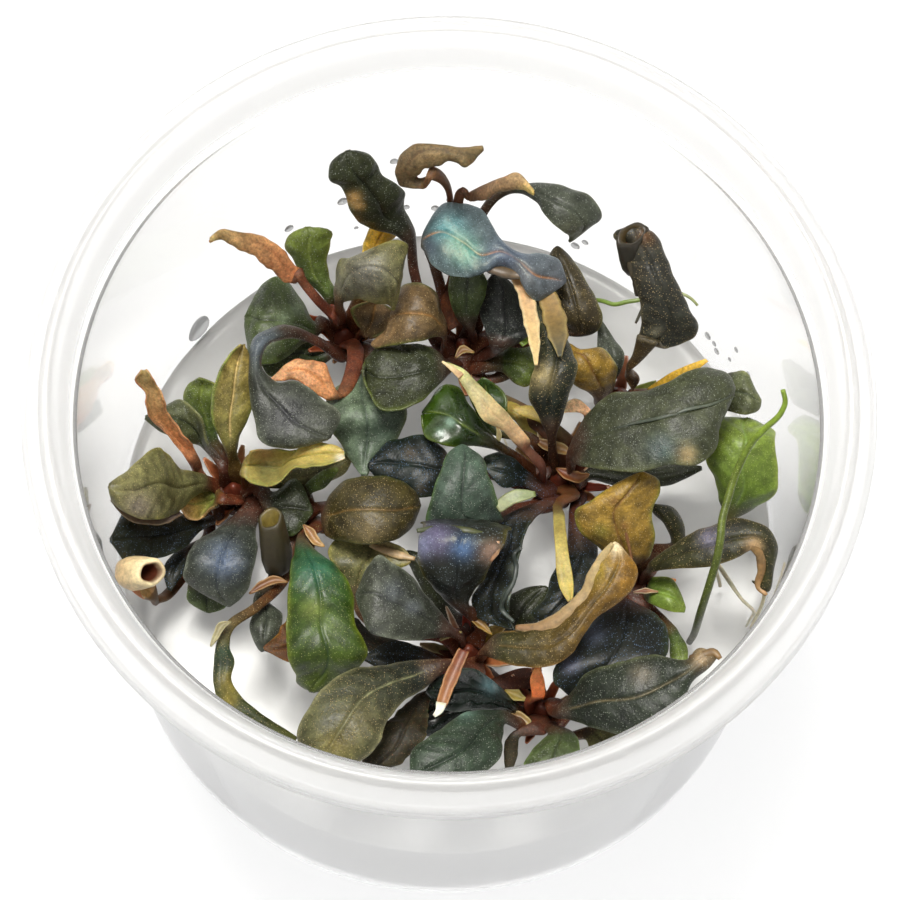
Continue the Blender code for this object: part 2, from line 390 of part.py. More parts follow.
leaf("rim_brown", "rim", "brown", [], [
    (9.8, -34.0, 8.4, -34.0, 31.5), (9.4, -36.4, 7.8, -36.4, 33),
], (8.4, -39.0, 34), 0.2, True)
leaf("rim_olive", "rim", "olive", [(14.2, -33.8, 29)], [
    (19.4, -32.6, 17.6, -34.4, 33), (21.8, -34.2, 18.4, -37.0, 34.5),
], (20.8, -38.2, 34.5), 0.3, True)
leaf("right_navy", "right", "navy", [], [
    (9.4, -2.4, 9.6, -0.4, 33), (6.6, -2.6, 7.0, 1.4, 34.5),
], (4.6, -0.2, 34.5), 0.3, True)
leaf("right_lime", "right", "lime_strip", [], [
    (11.4, 5.8, 12.4, 6.4, 34), (9.2, 6.6, 10.0, 8.0, 34.2),
], (7.8, 7.6, 34.2), 0.2, True)
leaf("right_rose", "right", "rose", [(15.8, 3.0, 32)], [
    (16.4, 7.2, 17.4, 7.4, 35), (14.8, 7.4, 15.4, 9.2, 35.5),
], (13.4, 7.2, 35.5), 0.2, True)
leaf("right_yellow", "right", "lemon", [(13.8, -4.4, 33)], [
    (14.4, -6.3, 13.0, -6.3, 37), (14.8, -10.0, 13.3, -10.0, 39.5), (15.6, -15.6, 14.2, -15.8, 42),
], (15.2, -17.0, 42.3), 0.1, True)
leaf("side_green", "side", "fresh", [], [
    (25.2, -14.2, 25.0, -16.4, 33), (27.6, -14.6, 27.2, -17.2, 34),
], (29.0, -17.6, 33), 0.3, True)
leaf("side_olive", "side", "olive", [(23.2, -18.0, 28.4)], [
    (23.4, -20.6, 21.4, -20.6, 31.5), (24.8, -23.4, 20.9, -23.6, 33),
], (22.8, -25.2, 33.5), 0.3, True)
leaf("side_fold", "side", "green", [(24.6, -17.4, 29)], [
    (28.2, -20.4, 27.2, -21.2, 32.5), (29.4, -23.2, 27.6, -24.4, 34),
], (28.8, -25.6, 34), 0.3, True)
leaf("rear_green", "rear", "green", [(5.8, 11.6, 28)], [
    (7.2, 15.4, 8.4, 12.6, 30), (8.6, 16.4, 9.8, 13.4, 30.5),
], (10.4, 15.2, 30.5), 0.3, True)
leaf("far_ochre", "far", "ochre", [], [
    (24.4, 11.0, 25.0, 10.2, 36), (28.2, 13.6, 29.2, 12.6, 40.5),
], (31.4, 14.8, 42), 0.2, True)

SHOOT = [
    (29.6, -21.6, 25.0), (30.2, -20.4, 33), (31.0, -17.5, 41), (32.0, -14.0, 45), (32.8, -11.0, 47),
    (33.2, -8.5, 48), (33.4, -6.0, 48.5), (34.0, -3.5, 49), (35.0, 0.0, 50), (35.8, 2.0, 51), (37.0, 4.3, 52.5),
    (38.5, 6.0, 54), (40.5, 8.2, 56), (41.0, 9.6, 57), (40.7, 11.2, 58),
]
ROOT_BACK = [
    (13.6, 22.6, 25.0), (15.2, 22.9, 30), (17.0, 22.4, 33), (18.5, 22.2, 34), (20.0, 21.8, 34.5), (21.5, 22.2, 35),
    (23.0, 22.5, 35.3), (26.0, 23.8, 35.6), (28.0, 23.6, 35.8), (29.5, 22.8, 35.8), (30.2, 22.0, 35.5),
]
ROOT_RIGHT = [
    (33.2, -14.4, 25.0), (33.0, -11.9, 34), (34.5, -14.2, 35), (35.8, -16.0, 34), (37.2, -17.4, 32),
    (36.8, -18.6, 29), (36.4, -19.4, 25.0),
]

COLOURS = {
    "dead": "#a8623a", "green": "#3d5a2a", "deep": "#26331f", "olive": "#565640", "bronze": "#6a5230",
    "ochre": "#a98a3e", "slate": "#3a434a", "peach": "#d98f5e", "sage": "#4a5648", "ink": "#262c2a",
    "taupe": "#7a6250", "tan_roll": "#8a5f3e", "grey": "#3f443f", "iridescent": "#587a80", "dotted": "#3c3428",
    "plum": "#25232c", "glossy": "#34403a", "teal": "#3f5a52", "striped": "#6b6238", "decayed": "#7f8a3a",
    "black": "#1c1e1f", "lemon": "#b9ae5e", "cream_roll": "#c9a26a", "bean": "#5e5036", "lime": "#4f7a26",
    "thin_olive": "#5a5530", "rust": "#6e4420", "spotted": "#333a3c", "rollover": "#33363c",
    "bronze_grey": "#66624a", "gold_fold": "#8a7838", "brown": "#3b2e26", "teal_gloss": "#2e4440",
    "black_teal": "#1f2e30", "slate_big": "#3e4a46", "emerald": "#2f6a26", "straw": "#cbb27c",
    "mist": "#4c615c", "big_grey": "#444a3f", "strap": "#33413c", "gold": "#8a6e36", "curl": "#33352f",
    "fresh": "#4f7d2c", "starry": "#20262c", "tower": "#33342f", "orange_stub": "#c87a4a", "navy": "#20262f",
    "lime_strip": "#9aa052", "rose": "#9a705c", "rhizome": "#6a2e1c", "shoot": "#86a032", "root": "#7f9a30",
    "gel": "#d8d9d2", "cup": "#eef0f0",
}
BLADE_ROUGHNESS = 0.4


def linear(hex_colour):
    """An sRGB hex colour as linear RGBA."""
    channels = [int(hex_colour[i:i + 2], 16) / 255 for i in (1, 3, 5)]
    return [c / 12.92 if c <= 0.04045 else ((c + 0.055) / 1.055) ** 2.4 for c in channels] + [1.0]


def finish(name, roughness=BLADE_ROUGHNESS, transmission=0.0):
    """The named Principled material, made the first time that it is asked for."""
    if name in bpy.data.materials:
        return bpy.data.materials[name]
    material = bpy.data.materials.new(name)
    material.use_nodes = True
    shader = material.node_tree.nodes["Principled BSDF"]
    shader.inputs["Base Color"].default_value = linear(COLOURS[name])
    shader.inputs["Roughness"].default_value = roughness
    shader.inputs["Metallic"].default_value = 0.0
    shader.inputs["Transmission Weight"].default_value = transmission
    return material


def start_scene():
    """Clear the scene and return the collection of the parts and that of the cutters."""
    for existing in list(bpy.data.objects):
        bpy.data.objects.remove(existing, do_unlink=True)
    found = []
    for name in ("bucephalandra_cup", "cutters"):
        group = bpy.data.collections.new(name)
        bpy.context.scene.collection.children.link(group)
        found.append(group)
    return found


def add_mesh(name, mesh, group, material):
    """An object for a mesh, in a collection, with its material."""
    made = bpy.data.objects.new(name, mesh)
    group.objects.link(made)
    mesh.materials.clear()
    mesh.materials.append(material)
    return made


def turned(name, profile, group, material):
    """A profile of (radius, height) points in mm turned once round Z."""
    bm = bmesh.new()
    points = [bm.verts.new((r * MM, 0.0, z * MM)) for r, z in profile]
    for a, b in zip(points, points[1:]):
        bm.edges.new((a, b))
    mesh = bpy.data.meshes.new(name)
    bm.to_mesh(mesh)
    bm.free()
    made = add_mesh(name, mesh, group, material)
    screw = made.modifiers.new("turn", "SCREW")
    screw.axis = "Z"
    screw.steps = CUP_STEPS
    screw.render_steps = CUP_STEPS
    screw.use_merge_vertices = True
    screw.merge_threshold = 0.00001
    return made


def cup_profile():
    """Down the outer side from the rim's top, round the foot, and up the inside."""
    base_r = inner_radius(0.0) + WALL
    outer_collar = COLLAR_R + WALL
    return [
        (RIM_INNER_R + 0.3, CUP_HEIGHT),
        (RIM_FLANGE_R - 0.8, CUP_HEIGHT - 0.5),
        (RIM_FLANGE_R, FLANGE_Z),
        (RIM_FLANGE_R - 0.2, SKIRT_Z),
        (RIM_FLANGE_R - 1.0, SKIRT_Z),
        (RIM_FLANGE_R - 1.2, FLANGE_Z - 0.9),
        (RIM_INNER_R + WALL, FLANGE_Z - 0.4),
        (outer_collar, COLLAR_Z - 0.6),
        (inner_radius(COLLAR_Z - 1.5) + WALL, COLLAR_Z - 1.5),
        (base_r, BASE_CORNER),
        (base_r - 0.7, 0.7),
        (base_r - BASE_CORNER, 0.0),
        (0.0, 0.0),
        (0.0, FLOOR),
        (inner_radius(FLOOR) - 1.6, FLOOR),
        (inner_radius(BASE_CORNER), BASE_CORNER + 0.4),
        (inner_radius(COLLAR_Z - 0.8), COLLAR_Z - 0.8),
        (COLLAR_R, COLLAR_Z),
        (RIM_INNER_R, CUP_HEIGHT - 0.3),
        (RIM_INNER_R + 0.3, CUP_HEIGHT),
    ]


def gel_profile():
    """The gel fills the cup's foot with a gap all round."""
    low = FLOOR + GAP
    return [
        (0.0, GEL_TOP),
        (inner_radius(GEL_TOP) - GAP, GEL_TOP),
        (inner_radius(BASE_CORNER + 1.0) - GAP, BASE_CORNER + 1.0),
        (inner_radius(FLOOR) - 1.6 - GAP, low),
        (0.0, low),
    ]


def tube(name, path, radii, group, material, resolution=2):
    """A round bar along points in mm, with filled ends, as a mesh."""
    curve = bpy.data.curves.new(name, "CURVE")
    curve.dimensions = "3D"
    curve.bevel_depth = MM
    curve.bevel_resolution = resolution
    curve.use_fill_caps = True
    spline = curve.splines.new("POLY")
    spline.points.add(len(path) - 1)
    for point, place, radius in zip(spline.points, path, radii):
        point.co = (*(np.asarray(place, float) * MM), 1.0)
        point.radius = radius
    source = bpy.data.objects.new(name + "_path", curve)
    group.objects.link(source)
    bpy.context.view_layer.update()
    evaluated = source.evaluated_get(bpy.context.evaluated_depsgraph_get())
    mesh = bpy.data.meshes.new_from_object(evaluated)
    bpy.data.objects.remove(source, do_unlink=True)
    bm = bmesh.new()
    bm.from_mesh(mesh)
    bmesh.ops.remove_doubles(bm, verts=bm.verts, dist=0.000001)
    bmesh.ops.recalc_face_normals(bm, faces=bm.faces)
    bm.to_mesh(mesh)
    bm.free()
    mesh.name = name
    return add_mesh(name, mesh, group, material)


class Ceiling:
    """The lowest underside placed so far over each cell of the plan."""

    def __init__(self):
        self.count = int(2 * SETTLE_HALF / SETTLE_CELL)
        self.low = np.full((self.count, self.count), 1e3)

    def cells(self, x, y):
        def index(a):
            return np.clip(((a + SETTLE_HALF) / SETTLE_CELL).astype(int), 1, self.count - 2)
        return index(x), index(y)

    def over(self, x, y):
        """The lowest underside in the cell of each point and in those round it."""
        i, j = self.cells(x, y)
        around = [self.low[i + a, j + b] for a in (-1, 0, 1) for b in (-1, 0, 1)]
        return np.min(around, axis=0)

    def cover(self, x, y, h):
        i, j = self.cells(x, y)
        np.minimum.at(self.low, (i.ravel(), j.ravel()), h.ravel())


def between(rows, along=6, across=5):
    """Points spread over the flat quads between the rows, with the weight of each row and column."""
    n = len(rows)
    u = np.linspace(0, n - 1, (n - 1) * along + 1)
    v = np.linspace(0, 2, 2 * across + 1)
    i = np.minimum(u.astype(int), n - 2)
    j = np.minimum(v.astype(int), 1)
    fu = (u - i)[:, None, None]
    fv = (v - j)[None, :, None]
    low = rows[i][:, j] * (1 - fv) + rows[i][:, j + 1] * fv
    high = rows[i + 1][:, j] * (1 - fv) + rows[i + 1][:, j + 1] * fv
    return low * (1 - fu) + high * fu, i, j


def blade_rows(spec):
    """The blade's rows with a short row at the tip."""
    tip = spec["tip"]
    last = spec["rows"][-1]
    side = last[2][:2] - last[0][:2]
    side = side / max(np.hypot(*side), 1e-6) * TIP_WIDTH / 2
    end = [(*(tip[:2] - side), tip[2]), tuple(tip), (*(tip[:2] + side), tip[2])]
    return np.concatenate([spec["rows"], np.array([end])])


def settle(specs):
    """Lower each blade along its lines of sight until it clears those that lie over it."""
    ceiling = Ceiling()
    order = sorted(specs, key=lambda name: -specs[name]["rows"][:, 1, 2].mean() - specs[name]["front"])
    for name in order:
        rows = blade_rows(specs[name])
        for _ in range(SETTLE_PASSES):
            fine, i, j = between(rows)
            excess = fine[..., 2] - (ceiling.over(fine[..., 0], fine[..., 1]) - LAYER)
            if excess.max() <= 0:
                break
            for a in range(len(rows)):
                for b in range(3):
                    near = np.ix_((i == a) | (i == a - 1), (j == b) | (j == b - 1))
                    rows[a, b, 2] -= max(excess[near].max(), 0.0)
        rows[..., 2] = np.maximum(rows[..., 2], LOWEST_BLADE)
        fine, _, _ = between(rows)
        ceiling.cover(fine[..., 0], fine[..., 1], fine[..., 2])
        specs[name]["settled"] = rows


def spread_sheaths(specs, place):
    """Directions round a crown, one for each leaf, each near its blade but clear of its neighbours."""
    toward = {}
    for name, spec in specs.items():
        first = spec["stalk"][0] if spec["stalk"] else spec["settled"][0][1]
        away = sight(*first)[:2] - place[:2]
        toward[name] = math.atan2(away[1], away[0])
    order = sorted(toward, key=toward.get)
    angles = np.array([toward[name] for name in order])
    apart = min(SHEATH_APART, 2 * math.pi / len(order))
    for _ in range(60):
        step = np.diff(np.append(angles, angles[0] + 2 * math.pi))
        short = np.maximum(apart - step, 0.0) / 2
        angles = angles - short + np.roll(short, 1)
    return {name: (angle, number) for number, (name, angle) in enumerate(zip(order, angles))}


def stalk_rows(spec, place, angle, level, start_r):
    """Rows of the stalk, from its sheath at the crown, by a knee clear of the nub, to the blade.

    They are made from the blade back to the crown, each turned less than a right angle from the one after it.
    """
    out = np.array([math.cos(angle), math.sin(angle), 0.0])
    start = np.array([place[0], place[1], level]) + out * start_r
    onward = [sight(*p) for p in spec["stalk"]] + [sight(*spec["settled"][0][1])]
    reach = np.hypot(*(onward[0][:2] - place[:2]))
    knee_r = max(start_r + 0.3, min(LEAF_START_R + KNEE_OUT, KNEE_SHARE * reach))
    knee_z = min(level + KNEE_UP, onward[0][2])
    knee = np.array([place[0], place[1], knee_z]) + out * knee_r
    path = [start, knee] + onward
    after = spec["settled"][0][0][:2] - spec["settled"][0][2][:2]
    rows = []
    for number in range(len(path) - 2, -1, -1):
        here = path[number]
        heading = path[number + 1][:2] - path[number - 1][:2] if number else out[:2]
        heading = heading / max(np.hypot(*heading), 1e-6)
        side = np.array([-heading[1], heading[0], 0.0])
        if side[:2] @ after < 0:
            side = -side
        after = side[:2]
        half = (SHEATH_WIDTH if number == 0 else STALK_WIDTH) / 2
        rows.insert(0, [here + side * half, here, here - side * half])
    return np.array(rows)


def leaf_object(name, spec, place, sheath, start_r, group):
    """One closed leaf: the open surface of stalk and blade, thickened."""
    blade = np.array([[sight(*p) for p in row] for row in spec["settled"]])
    angle, number = sheath
    level = LOWEST_SHEATH + SHEATH_STEP * (number % SHEATH_LEVELS)
    rows = np.concatenate([stalk_rows(spec, place, angle, level, start_r), blade])
    count = len(rows)
    faces = []
    for a in range(count - 1):
        for b in range(2):
            corner = a * 3 + b
            faces.append((corner, corner + 1, corner + 4, corner + 3))
    mesh = bpy.data.meshes.new(name)
    mesh.from_pydata([tuple(p) for p in rows.reshape(-1, 3) * MM], [], faces)
    made = add_mesh(name, mesh, group, finish(spec["finish"]))
    thick = made.modifiers.new("thickness", "SOLIDIFY")
    thick.thickness = LEAF_THICK * MM
    thick.offset = 0.0
    thick.use_rim = True
    return made


def crown_place(crown):
    """The middle of a crown at the height of its nub."""
    return sight(*CROWNS[crown], 27.5)


def rhizome(name, crowns, group):
    """A creeping bar on the gel with an upright nub under each crown, joined in one solid."""
    material = finish("rhizome", 0.5)
    low = GEL_TOP + STEM_LIFT + STEM_R
    bars = []
    for crown in crowns:
        x, y, _ = crown_place(crown)
        path = [(x, y, GEL_TOP + STEM_LIFT), (x, y, low + 1.5), (x, y, NUB_TOP - 1.5), (x, y, NUB_TOP)]
        bars.append(tube(name + "_" + crown, path, [NUB_R, NUB_R, NUB_R * 0.8, NUB_R * 0.35], group, material))
    if len(crowns) == 2:
        a = crown_place(crowns[0])
        b = crown_place(crowns[1])
        middle = (a + b) / 2 + np.array([0.8, -1.0, 0])
        path = [(a[0], a[1], low), (middle[0], middle[1], low), (b[0], b[1], low)]
        bars.append(tube(name + "_creep", path, [STEM_R * 0.9, STEM_R, STEM_R * 0.9], group, material))
    whole = bars[-1]
    whole.name = name
    return whole, bars[:-1]


def join(base, others, cutters):
    """Boolean union of others into base; the others become hidden helpers."""
    for other in others:
        modifier = base.modifiers.new("join_" + other.name, "BOOLEAN")
        modifier.operation = "UNION"
        modifier.solver = "EXACT"
        modifier.use_self = True
        modifier.object = other
        for group in list(other.users_collection):
            group.objects.unlink(other)
        cutters.objects.link(other)
        other.hide_render = True
        other.display_type = "WIRE"


def main():
    parts, cutters = start_scene()
    turned("cup", cup_profile(), parts, finish("cup", 0.15, 0.9))
    turned("gel", gel_profile(), parts, finish("gel", 0.2, 0.4))
    everything = {**LEAVES, **SMALL}
    settle(everything)
    for name, crowns in STEMS.items():
        base, others = rhizome(name, crowns, parts)
        for crown in crowns:
            place = crown_place(crown)
            grown = {n: spec for n, spec in everything.items() if spec["crown"] == crown}
            for each, sheath in spread_sheaths(grown, place).items():
                if each in SMALL:
                    others.append(leaf_object(each, SMALL[each], place, sheath, SMALL_START_R, parts))
                else:
                    leaf_object(each, LEAVES[each], place, sheath, LEAF_START_R, parts)
        join(base, others, cutters)
    green = finish("shoot", 0.35)
    tube("shoot", [sight(*p) for p in SHOOT], np.linspace(0.62, 0.35, len(SHOOT)), parts, green)
    root = finish("root", 0.35)
    tube("root_back", [sight(*p) for p in ROOT_BACK], [0.32] * len(ROOT_BACK), parts, root)
    tube("root_right", [sight(*p) for p in ROOT_RIGHT], [0.25] * len(ROOT_RIGHT), parts, root)


main()
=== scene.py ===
# %% [markdown]
# # Bucephalandra grown in a clear cup
#
# A small aquarium plant with dark, glittering leaves creeps over a bed of clear jelly in a plastic cup.
# The imported solids are plain stand-ins.  Each step below makes one kind of surface, as a function of two
# numbers worked out with numpy, and gives it the skin of the real thing.  Where a new piece stands for a
# solid, the solid is hidden.

import math
import zlib

import bpy
import numpy as np
from mathutils import Matrix, Vector


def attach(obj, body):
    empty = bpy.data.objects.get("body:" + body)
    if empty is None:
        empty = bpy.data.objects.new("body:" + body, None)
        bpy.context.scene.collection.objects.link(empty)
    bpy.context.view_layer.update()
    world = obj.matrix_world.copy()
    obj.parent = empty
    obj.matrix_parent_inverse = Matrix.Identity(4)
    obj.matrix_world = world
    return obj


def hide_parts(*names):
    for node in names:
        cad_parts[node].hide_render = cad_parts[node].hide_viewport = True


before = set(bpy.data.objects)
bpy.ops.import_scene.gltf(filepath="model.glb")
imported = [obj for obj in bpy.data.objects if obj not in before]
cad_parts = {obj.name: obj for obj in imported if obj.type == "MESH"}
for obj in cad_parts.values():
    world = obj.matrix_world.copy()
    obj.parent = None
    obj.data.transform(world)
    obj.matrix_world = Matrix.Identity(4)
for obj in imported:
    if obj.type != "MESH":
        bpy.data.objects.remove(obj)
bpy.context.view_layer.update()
print("solids:", len(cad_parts))

# %% [markdown]
# ## Sizes
#
# Everything is written in millimetres, as one would measure the cup on a bench, and turned to metres only
# where a mesh is made.  The eye is the place the photograph was taken from.  A point of a leaf is given by
# where it is seen on a level plane, and by its height, because that is what a photograph lets one read.

# %% Sizes and sight lines
MM = 0.001
PLAN_H = 48.0
EYE_Y = -185.0
EYE_Z = 535.5
CUP_HEIGHT = 71.0
RIM_INNER_R = 46.5
RIM_FLANGE_R = 50.0
FLANGE_Z = 69.4
SKIRT_Z = 66.5
COLLAR_Z = 64.8
COLLAR_R = 43.7
WALL = 0.8
FLOOR = 1.2
GEL_TOP = 23.2
WALL_R_AT_GEL = 41.4
WALL_TAPER = 0.0553
BASE_CORNER = 2.5


def sight(x, y, h):
    """Points seen at (x, y) on the plane at PLAN_H, moved along their lines of sight to the height h."""
    k = (EYE_Z - h) / (EYE_Z - PLAN_H)
    return np.stack([x * k, EYE_Y + (y - EYE_Y) * k, h * np.ones_like(k)], axis=-1)


def seen_at(points):
    """The plan place (x, y) at which points in mm are seen: the inverse of sight."""
    k = (EYE_Z - points[..., 2]) / (EYE_Z - PLAN_H)
    return np.stack([points[..., 0] / k, (points[..., 1] - EYE_Y) / k + EYE_Y], axis=-1)


def inner_radius(z):
    """Radius of the cup's inside at a height: the wall widens evenly from the gel to the collar."""
    return WALL_R_AT_GEL + (z - GEL_TOP) * WALL_TAPER


# %% [markdown]
# ## Helpers
#
# A material is a small graph of nodes.  One function adds a node with its settings and links, so that each
# graph reads from top to bottom.  Colours are hex values as a painter picks them on a screen, and another
# function turns them to the linear light that the renderer works in.

# %% Colour and node helpers
def linear(hex_colour):
    """An sRGB hex colour as three linear values."""
    c = np.array([int(hex_colour[i:i + 2], 16) / 255 for i in (1, 3, 5)])
    return np.where(c <= 0.04045, c / 12.92, ((c + 0.055) / 1.055) ** 2.4)


def rgba(hex_colour):
    """The same colour with full alpha, for a socket."""
    return (*linear(hex_colour), 1.0)


def ramp(stops, x):
    """Linear colours between stops [(position, hex)] at the positions x."""
    at = [p for p, _ in stops]
    colours = np.array([linear(h) for _, h in stops])
    return np.stack([np.interp(x, at, colours[:, c]) for c in range(3)], axis=-1)


def new_material(name):
    """An empty node material and its tree."""
    material = bpy.data.materials.new(name)
    material.use_nodes = True
    material.node_tree.nodes.clear()
    return material, material.node_tree


def node(tree, kind, settings=None, **inputs):
    """Add a node: settings are its properties; an input is a value, or a socket to link from.

    An input is named by its label with _ for a space, or in_0, in_1 for its number.
    """
    made = tree.nodes.new(kind)
    for key, value in (settings or {}).items():
        setattr(made, key, value)
    for key, value in inputs.items():
        socket = made.inputs[int(key[3:])] if key.startswith("in_") else made.inputs[key.replace("_", " ")]
        if isinstance(value, bpy.types.NodeSocket):
            tree.links.new(value, socket)
        else:
            socket.default_value = value
    return made


def surface(tree, **inputs):
    """Add the one surface shader with these inputs, and lead it to the output."""
    shader = node(tree, "ShaderNodeBsdfPrincipled", **inputs)
    node(tree, "ShaderNodeOutputMaterial", Surface=shader.outputs[0])


def own_place(tree):
    """The place in the object's own coordinates, in metres."""
    return node(tree, "ShaderNodeTexCoord").outputs["Object"]


def own_tint(tree):
    """The colour kept at the points of the mesh."""
    return node(tree, "ShaderNodeAttribute", {"attribute_name": "tint"}).outputs["Color"]


def per_mm(size):
    """The pattern scale whose cells are this many millimetres wide, for coordinates in metres."""
    return 1000.0 / size


def noise(tree, place, size_mm, **inputs):
    """Cloudy noise whose patches are about size_mm wide, as a value mostly between 0.3 and 0.7."""
    return node(tree, "ShaderNodeTexNoise", Vector=place, Scale=per_mm(size_mm), **inputs).outputs["Fac"]


def stretch(tree, value, low, high):
    """A noise value stretched so that it runs from low to high."""
    return node(tree, "ShaderNodeMapRange", Value=value, From_Min=0.3, From_Max=0.7, To_Min=low,
                To_Max=high).outputs[0]


# %% [markdown]
# ## From arrays to a mesh
#
# Every new piece is a grid of points.  A leaf, a stalk and a root are all rings carried along a path, closed
# at both ends by a single point, so that the mesh is one closed body with its faces outwards.

# %% Mesh helpers
def ring_faces(rows, count):
    """Quads between neighbouring rings of count points, and triangles to the two poles after them."""
    i = np.arange(rows - 1)[:, None] * count
    j = np.arange(count)[None, :]
    n = (j + 1) % count
    quads = np.stack([i + j, i + n, i + n + count, i + j + count], axis=-1).reshape(-1, 4)
    k = np.arange(count)
    start = np.stack([np.full(count, rows * count), (k + 1) % count, k], axis=-1)
    last = (rows - 1) * count
    end = np.stack([np.full(count, rows * count + 1), last + k, last + (k + 1) % count], axis=-1)
    return quads, np.concatenate([start, end])


def signed_volume(points, quads, triangles):
    """Sum of the signed tetrahedra from the origin to each face; positive where the faces look outwards."""
    tri = np.concatenate([triangles, quads[:, [0, 1, 2]], quads[:, [0, 2, 3]]])
    a, b, c = points[tri[:, 0]], points[tri[:, 1]], points[tri[:, 2]]
    return np.einsum("ij,ij->i", a, np.cross(b, c)).sum() / 6


def closed_rings(rings, poles=None):
    """Points and faces of rings (rows, count, 3) in mm, closed by a pole at each end and facing outwards."""
    rows, count, _ = rings.shape
    if poles is None:
        poles = np.stack([rings[0].mean(0), rings[-1].mean(0)])
    points = np.concatenate([rings.reshape(-1, 3), poles])
    quads, triangles = ring_faces(rows, count)
    if signed_volume(points - points.mean(0), quads, triangles) < 0:
        quads = quads[:, ::-1]
        triangles = triangles[:, ::-1]
    return points, quads, triangles


def mesh_piece(name, shells, material, tints=None, stands_for=()):
    """One object from closed shells [(points, quads, triangles)]; tints are linear colours for each point."""
    starts = np.cumsum([0] + [len(s[0]) for s in shells[:-1]])
    points = np.concatenate([s[0] for s in shells]) * MM
    quads = np.concatenate([s[1] + o for s, o in zip(shells, starts)]).astype(np.int32)
    triangles = np.concatenate([s[2] + o for s, o in zip(shells, starts)]).astype(np.int32)
    mesh = bpy.data.meshes.new(name)
    mesh.vertices.add(len(points))
    mesh.vertices.foreach_set("co", points.astype(np.float32).ravel())
    sizes = np.concatenate([np.full(len(quads), 4), np.full(len(triangles), 3)])
    mesh.loops.add(int(sizes.sum()))
    mesh.loops.foreach_set("vertex_index", np.concatenate([quads.ravel(), triangles.ravel()]))
    mesh.polygons.add(len(sizes))
    mesh.polygons.foreach_set("loop_start", np.concatenate([[0], np.cumsum(sizes)[:-1]]).astype(np.int32))
    mesh.update(calc_edges=True)
    mesh.polygons.foreach_set("use_smooth", np.full(len(sizes), True))
    if tints is not None:
        colour = mesh.attributes.new("tint", "FLOAT_COLOR", "POINT")
        tint = np.concatenate([tints, np.ones((len(tints), 1))], axis=1)
        colour.data.foreach_set("color", tint.astype(np.float32).ravel())
    mesh.materials.append(material)
    made = bpy.data.objects.new(name, mesh)
    bpy.context.scene.collection.objects.link(made)
    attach(made, "root")
    if stands_for:
        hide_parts(*stands_for)
    return made


def with_poles(rings, tints):
    """Colours of the rings' points followed by the mean colour of the first and the last ring."""
    grid = tints.reshape(*rings.shape[:2], 3)
    return np.concatenate([tints.reshape(-1, 3), [grid[0].mean(0)], [grid[-1].mean(0)]])


def both_faces(upper, lower):
    """Rows of a thin sheet's upper face, each carried on by the lower face back to where it began."""
    return np.concatenate([upper, lower[:, -2:0:-1]], axis=1)


def smooth_path(points, step=0.4):
    """A curve through points: cubic pieces whose speeds follow the distances between the points.

    At a point the speed is the mean of the two neighbouring slopes, each weighted by the other's length.
    """
    points = np.asarray(points, float)
    flat = points.reshape(len(points), -1)
    middle = points[:, 1] if points.ndim == 3 else flat
    d = np.maximum(np.linalg.norm(np.diff(middle, axis=0), axis=1), 0.05)
    slope = np.diff(flat, axis=0) / d[:, None]
    speed = np.empty_like(flat)
    speed[0] = slope[0]
    speed[-1] = slope[-1]
    before, after = d[:-1, None], d[1:, None]
    speed[1:-1] = (slope[:-1] * after + slope[1:] * before) / (before + after)
    at = np.concatenate([[0], np.cumsum(d)])
    s = np.linspace(0, at[-1], max(int(at[-1] / step), 4) + 1)
    i = np.clip(np.searchsorted(at, s, side="right") - 1, 0, len(d) - 1)
    h = d[i][:, None]
    t = ((s - at[i]) / d[i])[:, None]
    made = ((2 * t**3 - 3 * t**2 + 1) * flat[i] + (t**3 - 2 * t**2 + t) * h * speed[i]
            + (3 * t**2 - 2 * t**3) * flat[i + 1] + (t**3 - t**2) * h * speed[i + 1])
    return made.reshape(len(s), *points.shape[1:]), s, at


def unit(vectors):
    """Vectors scaled to length 1."""
    return vectors / np.maximum(np.linalg.norm(vectors, axis=-1, keepdims=True), 1e-9)


def fade(low, high, x):
    """0 below low, 1 above high, and a smooth step between."""
    t = np.clip((x - low) / (high - low), 0, 1)
    return t * t * (3 - 2 * t)


# %% [markdown]
# ## Camera, floor and light
#
# The cup was photographed from above and a little in front with a long lens, on white, in soft light.  The
# camera's place and turn were worked out from the circles of the rim.  A wide pale floor, a bright sky and
# one large soft lamp overhead give the same even light, and the lamp gives the leaves their shine.

# %% Camera
CAMERA_PLACE = (0.0, -184.9, 535.5)
CAMERA_PAN = math.radians(0.09)
CAMERA_TILT = math.radians(69.03)
CAMERA_ROLL = math.radians(1.90)
LENS_MM = 172.04
SENSOR_MM = 36.0
NEAREST_SEEN_M = 0.01


def make_camera():
    """A camera that looks down by the tilt, turned by the pan, and rolled about its own axis."""
    pan, tilt, roll = CAMERA_PAN, CAMERA_TILT, CAMERA_ROLL
    ahead = Vector((math.sin(pan) * math.cos(tilt), math.cos(pan) * math.cos(tilt), -math.sin(tilt)))
    right = Vector((math.cos(pan), -math.sin(pan), 0.0))
    up = right.cross(ahead)
    turned_right = math.cos(roll) * right + math.sin(roll) * up
    turned_up = -math.sin(roll) * right + math.cos(roll) * up
    data = bpy.data.cameras.new("camera")
    data.lens = LENS_MM
    data.sensor_width = SENSOR_MM
    data.clip_start = NEAREST_SEEN_M
    made = bpy.data.objects.new("camera", data)
    bpy.context.scene.collection.objects.link(made)
    turn = Matrix((turned_right, turned_up, -ahead)).transposed().to_4x4()
    made.matrix_world = Matrix.Translation(Vector(CAMERA_PLACE) * MM) @ turn
    bpy.context.scene.camera = made


make_camera()

